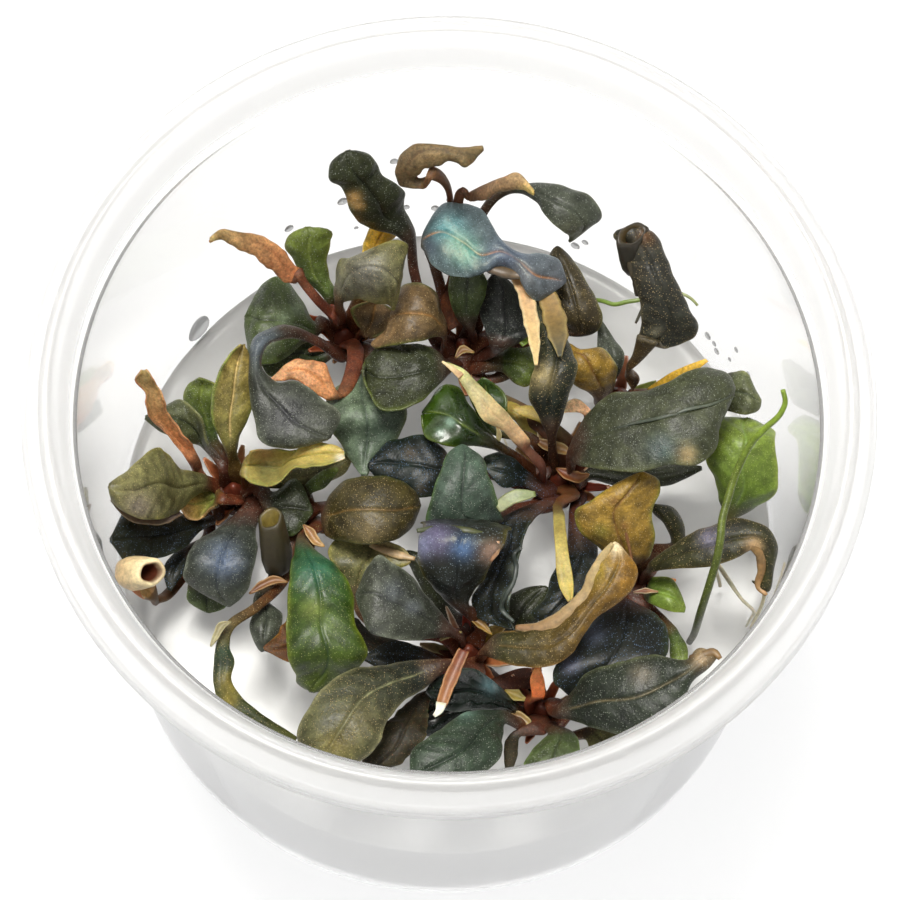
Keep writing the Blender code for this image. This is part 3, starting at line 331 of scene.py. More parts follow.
# %% Floor and light
FLOOR_HALF_MM = 1500.0
FLOOR_GLOW = 0.75
SKY_STRENGTH = 0.55
LAMP_PLACE_MM = (-110.0, 200.0, 950.0)
LAMP_SIZE_MM = 380.0
LAMP_WATTS = 11.0
LAMP_TINT = (1.0, 0.98, 0.93)


def make_floor():
    """A flat sheet of matt white plastic, lit from below like a light table, that the cup stands on."""
    h = FLOOR_HALF_MM * MM
    mesh = bpy.data.meshes.new("floor")
    mesh.from_pydata([(-h, -h, 0), (h, -h, 0), (h, h, 0), (-h, h, 0)], [], [(0, 1, 2, 3)])
    made = bpy.data.objects.new("floor", mesh)
    bpy.context.scene.collection.objects.link(made)
    material, tree = new_material("white light table, matt")
    surface(tree, Base_Color=rgba("#a8a8a8"), Roughness=0.9, Emission_Color=rgba("#ffffff"),
            Emission_Strength=FLOOR_GLOW)
    mesh.materials.append(material)


def make_light():
    """A white sky and one large lamp that points at the cup."""
    world = bpy.data.worlds.new("white sky")
    bpy.context.scene.world = world
    world.use_nodes = True
    background = world.node_tree.nodes["Background"]
    background.inputs["Color"].default_value = (1.0, 1.0, 1.0, 1.0)
    background.inputs["Strength"].default_value = SKY_STRENGTH
    data = bpy.data.lights.new("soft lamp", "AREA")
    data.size = LAMP_SIZE_MM * MM
    data.energy = LAMP_WATTS
    data.color = LAMP_TINT
    lamp = bpy.data.objects.new("soft lamp", data)
    bpy.context.scene.collection.objects.link(lamp)
    lamp.location = Vector(LAMP_PLACE_MM) * MM
    lamp.rotation_euler = (-lamp.location).to_track_quat("-Z", "Y").to_euler()


make_floor()
make_light()
bpy.context.scene.view_settings.view_transform = "Standard"

# %% [markdown]
# ## The leaves, as they are seen
#
# A leaf is written as it lies in the photograph, in three groups: the middle line of its stalk, rows across
# the blade from stalk to tip, and the tip.  A short row is x, y of the left margin, x, y of the right margin
# and the height of the middle.  A long row gives x, y and height of the left margin, the middle and the right
# margin.  The leaves whose names begin with deep lie lowest and are seen only in part.  Plain text without
# brackets keeps so many numbers easy to read, and one small function reads every such table below.

# %% Crowns and the leaf list
CROWNS = {
    "back": (-13.0, 16.0), "rear": (1.5, 15.0), "left": (-25.6, -4.6), "middle": (-17.6, -7.2),
    "front": (3.2, -24.2), "rim": (12.0, -31.0), "right": (13.6, -2.0), "side": (22.6, -14.2),
    "far": (20.6, 9.2),
}


def items(text):
    """The items between commas, each a tuple of its words; a word is a number unless it is a colour."""
    return [tuple(word if word[0] == "#" else float(word) for word in item.split())
            for item in text.split(",") if item.strip()]


def records(text):
    """The records of a table: each is names, then groups of items after bars, and ends at a semicolon."""
    made = []
    for record in text.split(";")[:-1]:
        names, *groups = record.split("|")
        made.append((names.split(), [items(group) for group in groups]))
    return made


# name crown kind options | points of the stalk | rows of the blade | tip;
LEAF_TABLE = """
leaf_back_1 back dead droop=0.5 | -15 18.2 34, -16.6 20 37.5, -18.6 22.6 40 | -20 23.2 -18.9 24.9 42,
 -21.6 24.5 -20.2 26.4 44, -23.2 26 -21.6 28.2 46, -25.4 27.5 -24.4 29.6 48, -27.6 28.4 -27 29.9 49.5,
 -29 29.1 -28.9 30.1 50.5 | -30.2 28.7 51;
leaf_back_2 back green | -14.9 19.5 33.5 | -15.8 21.6 -14.2 22 37, -18.8 24.5 -15.3 24.3 39,
 -19.8 26.6 -15.7 26.6 41, -20.9 28.6 -15.2 29 43, -20 30.1 -15.8 30.6 44 | -18.2 30.9 44;
leaf_back_3 back deep | | -17 16 -17 18.2 32, -18.8 14.6 -18.6 21 34, -21.3 12.6 -20.6 23.9 35.5,
 -24.6 12.9 -22.6 23.5 35.5, -25 15.2 -24 22 34.5 | -25.4 18.6 34;
leaf_back_4 back olive | -13.6 19 35 | -14.4 23.5 42.5 -13.7 22.4 44 -13.2 21.1 41,
 -14.1 26.5 45 -12.7 24.7 47 -12 21.3 42.5, -12 27.2 47 -10.6 25.8 49 -10.4 21.2 43,
 -8.2 29.3 48.5 -8.6 25.6 49 -9 21 43, -6 29.2 48 -7.3 24.4 47.5 -7.9 20.7 42,
 -6.3 26.5 45.5 -6.9 23 44.5 -7.3 20.2 41.5 | -6.8 21.3 42;
leaf_back_5 back bronze droop=-1 small=yes | | -11.4 17.8 -9.4 16.4 34, -12.2 19.2 -7.4 17.5 35.5,
 -12.2 20.4 -6.9 19.7 36.5 | -9.4 21.4 37;
leaf_back_6 back ochre | -12.4 19.4 33 | -11.8 23.4 -9.4 23.2 37.5, -11.6 25.5 -9.2 25.5 39.5,
 -11.3 27.8 -8.8 28.6 42, -10.8 30.3 -7.3 30.2 44.5, -9.6 32.1 -7 31.5 46 | -8.3 32.7 46.5;
leaf_back_7 back slate | -16.5 15.7 36 | -20.9 15.8 -21.8 17.2 42, -22.6 14.8 -24.2 15.6 43,
 -23.1 12 -24.5 12 42.5, -21 10.1 -24.2 8 41.5, -18.3 10.1 -23.4 4.2 41, -15.4 8.1 -22.5 2.2 40.5,
 -13.3 5.4 -18.2 1.6 40 | -14.4 2.9 39.5;
leaf_back_8 back peach droop=0.3 small=yes | | -15 8.1 -13.8 9.2 36.5, -16.6 8.9 -15.4 12.5 37.5,
 -18.4 10.3 -17 13.2 38, -20.4 10.3 -19.6 12.7 38 | -21.9 10.3 37.5;
leaf_back_9 back sage | | -9.5 11.5 -12 10.9 33, -7.5 9 -13.8 8.4 35, -6.3 6.3 -13.6 5.2 36,
 -7 3.4 -12.5 3 36, -8.8 0.4 -11.2 0.2 35.5 | -10 -1.7 35;
leaf_rear_1 rear ink | -3.2 19.6 33.5, -4.8 25.2 36 | -7.2 30.2 -5.3 31.7 41.5, -10.7 31 -6.4 34 43,
 -12.9 33.2 -6.4 36.2 46.5, -14.2 36.4 -9.2 38.3 49.5, -15.9 38 -10.2 40.2 52, -15.2 40.3 -12 41.3 53 |
 -13.6 41.5 53;
leaf_rear_2 rear taupe droop=0.4 | 0.2 24 34, -0.4 30 38, -1.2 35.8 46 | -4.3 36.1 -3.4 37.7 51.5,
 -6.9 37.2 -4.9 38 53, -7.6 39.2 -4.8 38.8 55, -5.6 42.5 -3.4 39.8 56.5, -2.6 42.6 -1 40.7 57,
 1 42.4 1.4 40.2 56.5 | 3.2 42.4 55.5;
leaf_rear_3 rear tan_roll droop=0.3 | 1.3 22 34, 0.4 30 39, 0.6 34.6 44 | 1.4 36 2.1 35.2 47,
 4 37.6 4 35.9 50.5, 6 38.5 5.8 37 53, 7.6 39.1 8.2 37.3 54 | 9.7 36.6 54;
leaf_rear_4 rear grey | 3.2 24 35, 2.6 31 40, 4.6 35.4 44 | 7.2 37.4 7.6 36.5 47.5, 10 37.8 10 35.4 49.5,
 13.5 37.5 11.3 33.3 50.5, 16.8 36.2 13.1 31.6 50, 18 33.6 14 31 48.5, 16.4 31.8 14.2 30.5 46.5 |
 14.4 30.1 45;
leaf_rear_5 rear iridescent | -1.2 21.4 34.5, -2.4 26.4 41 | -3.6 31 45 -3.5 29.8 46 -3.6 28.2 45,
 -1.9 34.2 46 -1.6 30.8 47.5 -2.4 26.2 46, 0.8 34.7 47 1 29.5 49 -0.3 24.9 46.5,
 3.4 33.8 47 3.4 27.8 49 2.6 25.2 47, 5.4 30.2 47 5.8 28.4 48.5 5.4 26.3 47,
 8.2 28.3 47 8 27.2 48 7.6 25.9 47, 10.4 28.2 46 10 25.4 47.5 9.4 22.6 46, 13 27.4 45 12.2 25 46 11 22.3 45 |
 13.9 24.6 45;
leaf_rear_6 rear dotted | 9 16.4 34, 12.6 17.9 37 | 14.2 18.4 17.4 18 38.5, 13 20 18.2 19.4 40.5,
 12.3 22.6 17.6 22.4 41.5, 12.2 25.5 15.9 25.3 42, 11.9 27.9 14.3 27.9 42.5 | 12.8 29.3 42;
leaf_rear_7 rear plum | | 4.6 17.2 8.4 16.7 38, 3.8 19.4 9.7 18.2 40.5, 3.8 22 9 21.2 42,
 4.3 24.2 7.9 23.4 43.5 | 5.2 25.5 44;
leaf_rear_8 rear deep | | 0.4 20 3.2 20 39, -0.4 22.3 3.9 22.3 41.5, -0.2 25.2 3.9 25 43 | 2 27.2 44;
leaf_rear_9 rear bronze | | -1.8 16.8 -1.2 19.8 38.5, -3.4 16.3 -2.2 22.8 40.5, -5.6 15.7 -4.4 23.8 41,
 -7.6 15.3 -6.5 22.9 39.5, -9.2 15 -7.3 18.2 38.5 | -9.7 15.6 37.5;
leaf_rear_10 rear glossy | | -1.6 10.2 -2.2 15 38, -3.5 8 -4.2 15.7 40, -6.3 6.9 -6.8 15.5 40.5,
 -9 7.6 -9 14.8 40, -10.2 10 -10.3 13.6 39 | -10.6 11.9 38.5;
leaf_left_1 left dead droop=0.4 | -27.8 -3.4 32, -29.8 -1.4 33.8 | -31.6 -0.2 -30.6 0.9 35,
 -33.7 2.4 -31.4 1.8 36.5, -36 4.6 -34 5 38, -36.9 6.6 -34.7 6.9 40, -36.9 8.2 -35.6 8.8 41,
 -38.3 9.6 -36.2 9.8 42 | -37.4 11.1 42.5;
leaf_left_2 left teal | -27 -1.4 32 | -29.8 1.4 -29.2 2 34.5, -31.8 1.9 -30.4 5.8 38,
 -33.4 2.5 -32.8 7.4 39.5, -35.2 3.4 -34.6 6.6 40 | -36.9 4.9 40;
leaf_left_3 left green | | -29.4 2.5 -28 2.4 32.5, -31 5.5 -28.1 5.2 34.5, -32.4 7.6 -28.2 7.8 36,
 -31.8 9.6 -28.4 9.6 37 | -30.4 10.3 36.5;
leaf_left_4 left striped | -25.8 -0.6 33 | -27.2 1.7 -25.5 2.4 37, -28.8 4.8 -24.4 5.2 40.5,
 -28.8 8 -23.9 8.4 42, -28.2 11.4 -24.1 11.4 43, -26.9 13.6 -24.7 13.5 43 | -25.5 14.9 42.5;
leaf_left_5 left olive | | -29.5 -4.4 -29.4 -2.4 33, -32 -6.6 -32.5 -1.6 37, -34.8 -7.8 -35.4 0.6 43,
 -38 -7.4 -38.2 -1.8 46, -40.3 -5.7 -39.8 -3.2 47 | -40.8 -4 47;
leaf_left_6 left decayed droop=0.6 small=yes | -26.8 -5.4 33 | -28 -6.4 -27.8 -4.4 36,
 -29 -7.7 -29.2 -4.1 38, -31.1 -7.8 -31.2 -4.3 40 | -32.6 -5.4 40.5;
leaf_left_7 left black | -27.4 -7.6 29.2 | -28.8 -9 -28.7 -7.9 30.5, -31.2 -11.4 -32 -7.7 33.5,
 -35 -13 -35.5 -7.8 37.5, -38.2 -13.6 -38.8 -7.8 41 | -40.2 -11 42.5;
leaf_left_8 left slate front=5 | | -22.8 -9 -27 -9 33.5, -22.5 -11.5 -30.3 -11.4 35.5,
 -22.8 -14 -31 -13.8 36, -23.4 -16.8 -30.8 -16.2 34.5 | -25.6 -19 32.5;
leaf_left_9 left deep droop=0.4 small=yes | | -20.8 -4.2 -20.8 -8.2 32.8, -18.1 -2.6 -18.2 -9.8 33.5 |
 -16 -6.6 33;
leaf_left_10 left lemon | -24.6 -1.8 34.2 | -24 0.8 38.5 -24.4 -1 36.5 -24.6 -2.5 36.5,
 -22 1.3 40 -22.2 -0.9 37 -22.4 -3.5 37.5, -20 1.2 40.5 -20 -1 38 -20.5 -3.2 38.5,
 -18.8 1.2 41 -19 -0.2 40 -19 -1.2 39.5, -16.8 2.2 42 -16.7 0.6 42 -16.6 -1 41,
 -14.6 2.2 42 -14.5 0.9 42.5 -14.5 -0.4 41.5 | -12.5 0.9 42.5;
leaf_left_11 left cream_roll droop=0.3 small=yes | -27.6 -9.2 27.5, -31 -13.8 29.5, -34 -17.2 32 |
 -35.6 -18.4 -34.6 -16.4 35, -37.2 -17.6 -35.3 -14.6 37, -38.3 -16.2 -36.8 -14.4 38 | -38.7 -15.4 38.5;
leaf_middle_1 middle bean droop=1.5 | | -13.8 -4.2 -14 -9.7 38, -11.6 -2.2 -11.8 -10.4 40.5,
 -8.8 -1.7 -8.9 -10.5 41.5, -6 -2.2 -6 -9.9 41, -4 -3.2 -4.1 -8.1 39.5 | -3.1 -5.4 38;
leaf_middle_2 middle lime | -17 -9.8 34 | -15.6 -11.7 -17.8 -11.6 38, -12.9 -13.8 -18.1 -14.2 41,
 -11.1 -17.2 -18.2 -18 43, -10.8 -21 -18.1 -21.6 44, -9.2 -24.4 -17.7 -25.2 42, -11 -26.9 -16.9 -27.2 39.5,
 -13.8 -29 -16.4 -28.6 37.5 | -15.2 -29.4 37;
leaf_middle_3 middle thin_olive droop=0.4 | -18.7 -14 31, -22.3 -19 36, -25.4 -21.6 38 |
 -25.3 -24 -26.8 -24.2 39, -24.6 -26.1 -27 -26.6 40, -24.9 -28 -26.8 -29 40, -23.8 -30 -26 -31.2 39,
 -21.4 -32.1 -22.3 -33.1 38, -18.8 -33.8 -19.4 -34.9 37 | -16.8 -35.3 36;
leaf_middle_4 middle grey small=yes | -19.6 -14.6 30 | -21 -18 -22.4 -17.4 32, -19.2 -19.9 -22.7 -19.8 34.5,
 -19.4 -21.9 -22.8 -22 35.5, -20.4 -23.6 -22 -23.8 35 | -21.3 -24.5 34;
leaf_middle_5 middle rust droop=0.4 small=yes | -16.9 -14 30, -16.6 -18.6 34 | -17.4 -19.6 -15.6 -20.4 35,
 -18.6 -20.6 -16 -24 36, -19.6 -22.2 -17.6 -25.8 36.5 | -21.1 -24.2 37;
leaf_front_1 front rollover droop=1.2 | | 0.2 -17 3 -17.3 38, -1.7 -15 4.6 -14.4 41.5, -2.9 -12 5.8 -12 44.5,
 -2.9 -9.6 6.9 -9.8 45.5, -2.4 -8.2 7.2 -8.5 45, -2 -7.4 7 -7.6 42.5 | 2.4 -7 41;
leaf_front_2 front slate | 1.4 -21.4 34 | -1 -22.1 -0.6 -18.6 38, -3.4 -22.6 -3.2 -15.2 41,
 -6 -22.4 -5.8 -13.1 43, -8.6 -21.6 -8 -11.9 43.5 | -10.4 -17 41;
leaf_front_3 front olive droop=0.4 | -6 -21.5 31.5, -9.6 -19.4 32.5 | -11.7 -15.8 -8.9 -15.6 34.5,
 -13.6 -13 -6 -13.8 36, -13.9 -11 -3.9 -12.6 37, -12.5 -9.8 -4.6 -11.3 37 | -8 -9.7 37;
leaf_front_4 front bronze_grey | 0.6 -25.4 36 | -1.6 -28.2 -3.4 -25.2 37, -4.2 -30.2 -7.6 -25.9 40,
 -6.1 -32.6 -11.8 -27 42, -7 -35.4 -15.3 -31 43, -8.8 -37.6 -16.7 -35 42 | -13 -39.4 40;
leaf_front_5 front gold_fold | 5 -23.6 34 | 7.2 -21.2 6.8 -24.6 38.5, 10.5 -20.6 9.5 -25.4 40,
 13 -20.3 12.5 -25.3 41, 15.4 -18.2 15.2 -24 42, 17.5 -15.8 18 -19.3 43, 18 -12.6 22.2 -15.8 44,
 19 -10.5 23.1 -12.4 44.5 | 20.7 -9.3 44.5;
leaf_rim_1 rim brown droop=0.6 small=yes | 4 -28.6 31 | -1.2 -29.6 -3 -29.8 34.5, -1.8 -31.8 -4.6 -31.8 35.5,
 -2 -34 -6 -33.2 36.5, -3.4 -36.2 -6.8 -36 37, -5.6 -38.2 -8.6 -38.2 37 | -7.6 -39.6 36.5;
leaf_rim_2 rim teal_gloss droop=0.8 | | 7.7 -32.6 7 -31 34.5, 7.6 -34.5 3.6 -31.2 37, 7.2 -37 0.6 -33.2 39,
 5 -39 -1.5 -34.8 40, 1 -40.2 -3.2 -36.6 40 | -3 -39.4 39.5;
leaf_rim_3 rim black_teal | | 8.4 -31.2 8.9 -29.8 35.5, 6 -31 7 -27.9 37.5, 3.6 -31.1 4.2 -25.9 38.5,
 1.2 -31.2 1.4 -26.2 38.5, -0.6 -30.4 -0.4 -27.2 37.5 | -1.6 -28.8 37;
leaf_rim_4 rim slate_big | 13.4 -30.6 33 | 15.4 -28.8 16.2 -31.9 38.5, 18 -25.6 20 -33.2 42,
 21.8 -24.3 24.5 -33.4 44, 25.4 -23.4 28.4 -30.6 45, 29 -24 30 -26.6 46, 31 -22.4 32.2 -24.4 46.5 |
 32.8 -23.2 46;
leaf_rim_5 rim deep droop=0.6 small=yes | 13 -32.8 31 | 16.2 -33.7 12.8 -34.1 34.5, 16.8 -35.6 11 -35.8 36.5,
 16.8 -38 10.4 -38.2 37 | 13.6 -40 37;
leaf_right_1 right emerald | 9.2 0.6 31.5 | 3.5 2.6 4 5.4 36.5, 1 2.3 2.4 8.2 38, -1.4 2.8 0.9 10.3 38.5,
 -3 3.9 -1.2 9.8 38 | -3.2 6.6 37;
leaf_right_2 right emerald droop=0.6 small=yes | 10.3 3.6 34 | 4.6 4.8 6.8 6 35.5, 2.8 8 7.2 7.6 37,
 2.6 10.3 6.4 9.9 37.5 | 4.2 11.5 37.5;
leaf_right_3 right straw droop=0.3 | 11.2 0.6 36, 9.6 2.4 38.5 | 8.2 3.2 9.8 3.6 40, 6.3 5 8 5.7 41.5,
 4.4 6 6.6 7.4 42.5, 3 8.3 5 9 43, 1.6 10.6 3.2 10.8 43, 0.6 12.2 1.7 12.4 42.5 | -0.6 13.3 42;
leaf_right_4 right mist | 8 -5.6 33 | 1.5 -7.7 6.7 -6.6 38, -1.9 -7.5 6.1 -5.2 39.5, -1.6 -4.5 5.4 -3 41,
 -0.7 -1.4 4.8 -1 41.5, 0.1 1.4 4.2 0.8 41 | 1.9 2.6 39.5;
leaf_right_5 right black droop=0.8 | 11.8 -4.8 35 | 10.3 -7 6.6 -7.2 38, 9.3 -10 6 -11 39,
 8.7 -13 4.6 -14.5 39.5, 8 -16.8 3.5 -17.2 39, 8 -18.7 4.2 -19.3 37.5 | 8.4 -20.8 36.5;
leaf_right_6 right big_grey | 14.8 1.6 36 | 16.8 6.9 42 17.5 4.2 42.5 16.5 0.3 42,
 19.5 9.8 44 20.5 5.3 45.5 20 -0.1 45, 23 10.4 45.5 24 6.4 47 23.6 -0.1 46.5,
 27 11.7 46.5 27.2 7.3 48.5 27 0.9 47, 30.5 13.8 46.5 30 8.3 48.5 30.2 1 47,
 33.2 13.4 46 32.5 9.2 48 32.6 3.3 47, 34.8 11.6 46 34 9.9 47 33.2 6.6 46.5 | 34.7 10.3 46.5;
leaf_right_7 right strap | 12.8 1.6 34, 12.6 4.4 39 | 11 6.8 13.8 6.8 42, 9.9 8.8 14.5 9 44,
 9.8 11 15 11.2 45.5, 10.3 13.2 15.5 13.4 46, 10.9 15.6 15 15.2 45.5, 10.3 18.4 13.7 18 45,
 9.2 20.8 13 20.6 44.5 | 10.4 24 43.5;
leaf_right_8 right black small=yes | 15.6 -5.4 31 | 18.4 -10.4 14.4 -11.6 34, 18.2 -13.6 12.9 -14 36,
 17.6 -16 12.1 -17 36.5, 15 -18.6 10.8 -19 36 | 12.4 -19.9 35;
leaf_right_9 right spotted droop=0.6 | 9 -2.4 29.5, 4 -0.7 31.5, 1.2 -0.6 34 | -0.6 -3 -0.8 1.5 36,
 -3.2 -3.4 -3 2.9 36.5, -5.8 -2.6 -5.6 2.4 36, -8 -1.8 -7.6 1.9 35.5 | -9.6 -0.4 35;
leaf_side_1 side gold | | 18.9 -10.4 24.8 -10.8 37.5, 16.3 -8 25.3 -8 40, 15.6 -5.4 25 -5.2 41.5,
 17.6 -4 25.8 -2.4 42.5, 20.4 -1.9 25.5 -0.9 43 | 23.6 -0.1 43;
leaf_side_2 side curl droop=0.5 | | 25 -11.6 25 -12.9 37, 28.6 -8.6 28 -12.4 40, 32 -6.8 32 -12 42,
 35.5 -5.8 35.4 -10.7 43, 38.9 -6.8 37.2 -9.6 43, 40 -8.8 38.4 -10.6 42, 39.6 -12 38.6 -12.2 40.5,
 38.9 -15 37.8 -13.9 39 | 37.2 -13.8 38.5;
leaf_side_3 side fresh droop=1.2 | 27.5 -11.2 31, 34 -5.6 35.5 | 33 -3.2 37.6 -4.1 38,
 32.4 -0.6 39.8 -2.2 40.5, 31.4 1.9 40.2 0.2 42, 32.8 4.6 39.7 4 43, 33.2 7.2 38.8 6.3 42.5 | 36.6 7.3 42;
leaf_side_4 side starry droop=0.8 | 21.6 -16.8 33 | 25.6 -18.4 18.4 -18.9 36, 27 -20.6 15.8 -22.6 38,
 26.6 -23.8 13.6 -25.2 39, 22 -26.6 13.6 -27.2 38 | 15.6 -28.8 36;
leaf_far_1 far tower droop=1.6 | 21.8 12.2 35 | 22.5 15.2 25.6 14.5 41, 22.8 17.4 29 17 44,
 23.4 19.6 30.3 19.2 46.5, 23.2 21.8 29 21.7 48.5, 22.4 24.6 28 24 50, 21.7 27 26.8 26.8 51,
 20.6 29.6 25.7 29.3 52, 19.9 31.3 24.9 31.4 52.5 | 22.6 32.4 52;
leaf_far_2 far grey droop=0.5 small=yes | | 18.4 12.6 20.6 12.6 35, 17.9 15.6 21.3 15 37,
 18 17.8 19.8 17.3 38 | 18.2 19.7 38.5;
leaf_far_3 far gold droop=1.2 | | 16.8 10.5 19.9 11.6 38, 15 11.8 19.9 13.8 40.5, 14.6 13.6 18.2 15.7 41.5,
 14 15.4 16 15.5 41 | 14.2 16.4 40;
leaf_far_4 far teal droop=0.6 | 24.6 9.1 33, 31 9.8 39 | 34.6 13.3 34.4 8.1 42, 36.4 13 36.6 7.8 43,
 37.4 10.8 37.8 8.6 42.5 | 38 9.7 42;
left_dark_a left black droop=0.2 small=yes | -28.4 -10 27 | -30 -13.6 -32.4 -12.4 30,
 -31.4 -15.4 -33.6 -14.6 31 | -32.8 -17.2 30.5;
left_dark_b left deep droop=0.2 small=yes | -25.6 -12 28 | -25.8 -17.8 -30.6 -16.9 29.8,
 -26.2 -19.3 -30.2 -18.8 29 | -28 -19.9 28.6;
left_tube middle brown droop=0.2 small=yes | | -19.4 -12.6 -21 -12.2 30.4 | -20.8 -16 30.6;
middle_green middle green droop=0.2 small=yes | | -16.9 -3 -16.2 -4.2 32.5, -15.2 -1.4 -14.6 -3.4 33.5 |
 -13.2 -1 33.5;
front_dark front black droop=0.3 small=yes | | -2.6 -26.2 -2.6 -23.4 31.5, -6.4 -26.6 -6.4 -22.8 32.5 |
 -9.2 -25 32.5;
front_stub front orange_stub droop=0.1 small=yes | | 2 -26.4 0.8 -25.8 34, 0.9 -28.2 -0.3 -27.8 40.6 |
 0 -31 42;
rim_stub rim orange_stub droop=0.1 small=yes | | 12.4 -29 10.9 -29 34, 12.2 -26.4 10.8 -26.4 36 |
 11.5 -25.4 36.5;
rim_brown rim brown droop=0.2 small=yes | | 9.8 -34 8.4 -34 31.5, 9.4 -36.4 7.8 -36.4 33 | 8.4 -39 34;
rim_olive rim olive droop=0.3 small=yes | 14.2 -33.8 29 | 19.4 -32.6 17.6 -34.4 33,
 21.8 -34.2 18.4 -37 34.5 | 20.8 -38.2 34.5;
right_navy right navy droop=0.3 small=yes | | 9.4 -2.4 9.6 -0.4 33, 6.6 -2.6 7 1.4 34.5 | 4.6 -0.2 34.5;
right_lime right lime_strip droop=0.2 small=yes | | 11.4 5.8 12.4 6.4 34, 9.2 6.6 10 8 34.2 | 7.8 7.6 34.2;
right_rose right rose droop=0.2 small=yes | 15.8 3 32 | 16.4 7.2 17.4 7.4 35, 14.8 7.4 15.4 9.2 35.5 |
 13.4 7.2 35.5;
right_yellow right lemon droop=0.1 small=yes | 13.8 -4.4 33 | 14.4 -6.3 13 -6.3 37, 14.8 -10 13.3 -10 39.5,
 15.6 -15.6 14.2 -15.8 42 | 15.2 -17 42.3;
side_green side fresh droop=0.3 small=yes | | 25.2 -14.2 25 -16.4 33, 27.6 -14.6 27.2 -17.2 34 | 29 -17.6 33;
side_olive side olive droop=0.3 small=yes | 23.2 -18 28.4 | 23.4 -20.6 21.4 -20.6 31.5,
 24.8 -23.4 20.9 -23.6 33 | 22.8 -25.2 33.5;
side_fold side green droop=0.3 small=yes | 24.6 -17.4 29 | 28.2 -20.4 27.2 -21.2 32.5,
 29.4 -23.2 27.6 -24.4 34 | 28.8 -25.6 34;
rear_green rear green droop=0.3 small=yes | 5.8 11.6 28 | 7.2 15.4 8.4 12.6 30, 8.6 16.4 9.8 13.4 30.5 |
 10.4 15.2 30.5;
far_ochre far ochre droop=0.2 small=yes | | 24.4 11 25 10.2 36, 28.2 13.6 29.2 12.6 40.5 | 31.4 14.8 42;
deep_rear_green rear green small=yes | | 6.6 15.2 6.7 12.3 31, 8 16.6 8.3 10.7 32, 9.7 16 9.8 10.9 32 |
 10.6 13.8 31.5;
deep_right_lime right lime_strip small=yes | | 7 9.1 6.2 7.5 31, 8.9 7.8 8 6.1 32, 10.8 6 9.7 4.4 31 |
 11.9 4 30;
deep_right_ink right ink small=yes | | 17.3 0.1 16.8 -1.7 29, 22.2 0 22 -2.2 30, 27 1 27.3 -1.5 30 |
 30.9 0.6 30;
deep_side_curl side curl small=yes | | 28.7 -9.7 27.4 -8.9 33, 28.7 -6.8 26.4 -6.7 35,
 27.3 -4.6 25.2 -5.4 36 | 24.7 -4.3 36;
deep_front_deep front ink small=yes | | 7.3 -20.5 8.9 -21.4 28, 7.6 -17.4 11.5 -19.5 30,
 9.7 -15.5 12.7 -17.2 30 | 12.4 -15.2 30;
deep_front_ink front ink small=yes | | 0 -19.9 1.6 -18.8 29, -2.4 -16.2 0.3 -15.2 31,
 -4.1 -13.1 -1.3 -12.1 32 | -4.5 -11.2 32;
deep_front_brown front brown small=yes | | -4.9 -24.6 -5.2 -22.8 28, -7.9 -24.4 -8.8 -21.4 29,
 -10.1 -23.1 -11.3 -19.4 29 | -11.6 -18.5 29;
deep_rim_teal rim black_teal small=yes | | 5.7 -31.7 5.7 -29.5 28, 1.9 -32.8 1.4 -29.1 29,
 -1 -34.5 -1.9 -30 29 | -3.2 -33 29;
deep_back_deep back deep small=yes | | -15.2 15.4 -15.7 12.6 29, -18.5 16.2 -18.9 11.7 30,
 -21.9 14.8 -22.2 11.1 30 | -23.1 12.6 30;
deep_left_olive left olive small=yes | | -23.7 -0.2 -23.8 -3.2 31, -20.2 -0.9 -20.7 -3.7 32,
 -16.6 -0.5 -15.9 -3.1 32, -14 1.4 -12.2 -1.3 31.5 | -11.5 1 31;
deep_right_teal right teal_gloss small=yes | | 10.3 0.9 9.7 -1.2 29, 8.2 1.9 7 -1 30, 6.1 1.8 5.2 -0.3 30 |
 4.4 1 30;
"""


def read_leaf(crown, kind, options, stalk, rows, tip):
    """One leaf with its short rows made long.

    A short row's margins lie lower than its middle by the option droop, else by 1 mm.  The option front lifts
    the leaf in the pile's order.  The option small marks a leaf too small for a solid of its own.
    """
    options = dict(option.split("=") for option in options)
    droop = float(options.get("droop", 1))
    full = []
    for row in rows:
        if len(row) == 5:
            xl, yl, xr, yr, h = row
            row = (xl, yl, h - droop, (xl + xr) / 2, (yl + yr) / 2, h, xr, yr, h - droop)
        full.append(np.reshape(row, (3, 3)))
    return {
        "crown": crown, "kind": kind, "small": "small" in options, "front": float(options.get("front", 0)),
        "stalk": np.array(stalk).reshape(-1, 3), "rows": np.array(full), "tip": np.array(tip[0]),
    }


LEAVES = {name: read_leaf(crown, kind, options, *groups)
          for (name, crown, kind, *options), groups in records(LEAF_TABLE)}
print("leaves listed:", len(LEAVES))

# %% [markdown]
# ## Letting the pile settle
#
# From one photograph the heights are a guess, but what lies over what is plain to see.  The blades are laid
# from the top down on a grid of the plan, and each one sinks along its lines of sight until it clears the
# undersides above it.  So none cuts through another, and each is still seen where it was drawn.

# %% Settle the blades
LAYER = 1.15
TIP_WIDTH = 0.5
SETTLE_CELL = 0.5
SETTLE_HALF = 46.0
SETTLE_PASSES = 4
LOWEST_BLADE = 25.5
OPEN_SKY = 1000.0
FINE_ALONG = 6
FINE_ACROSS = 5


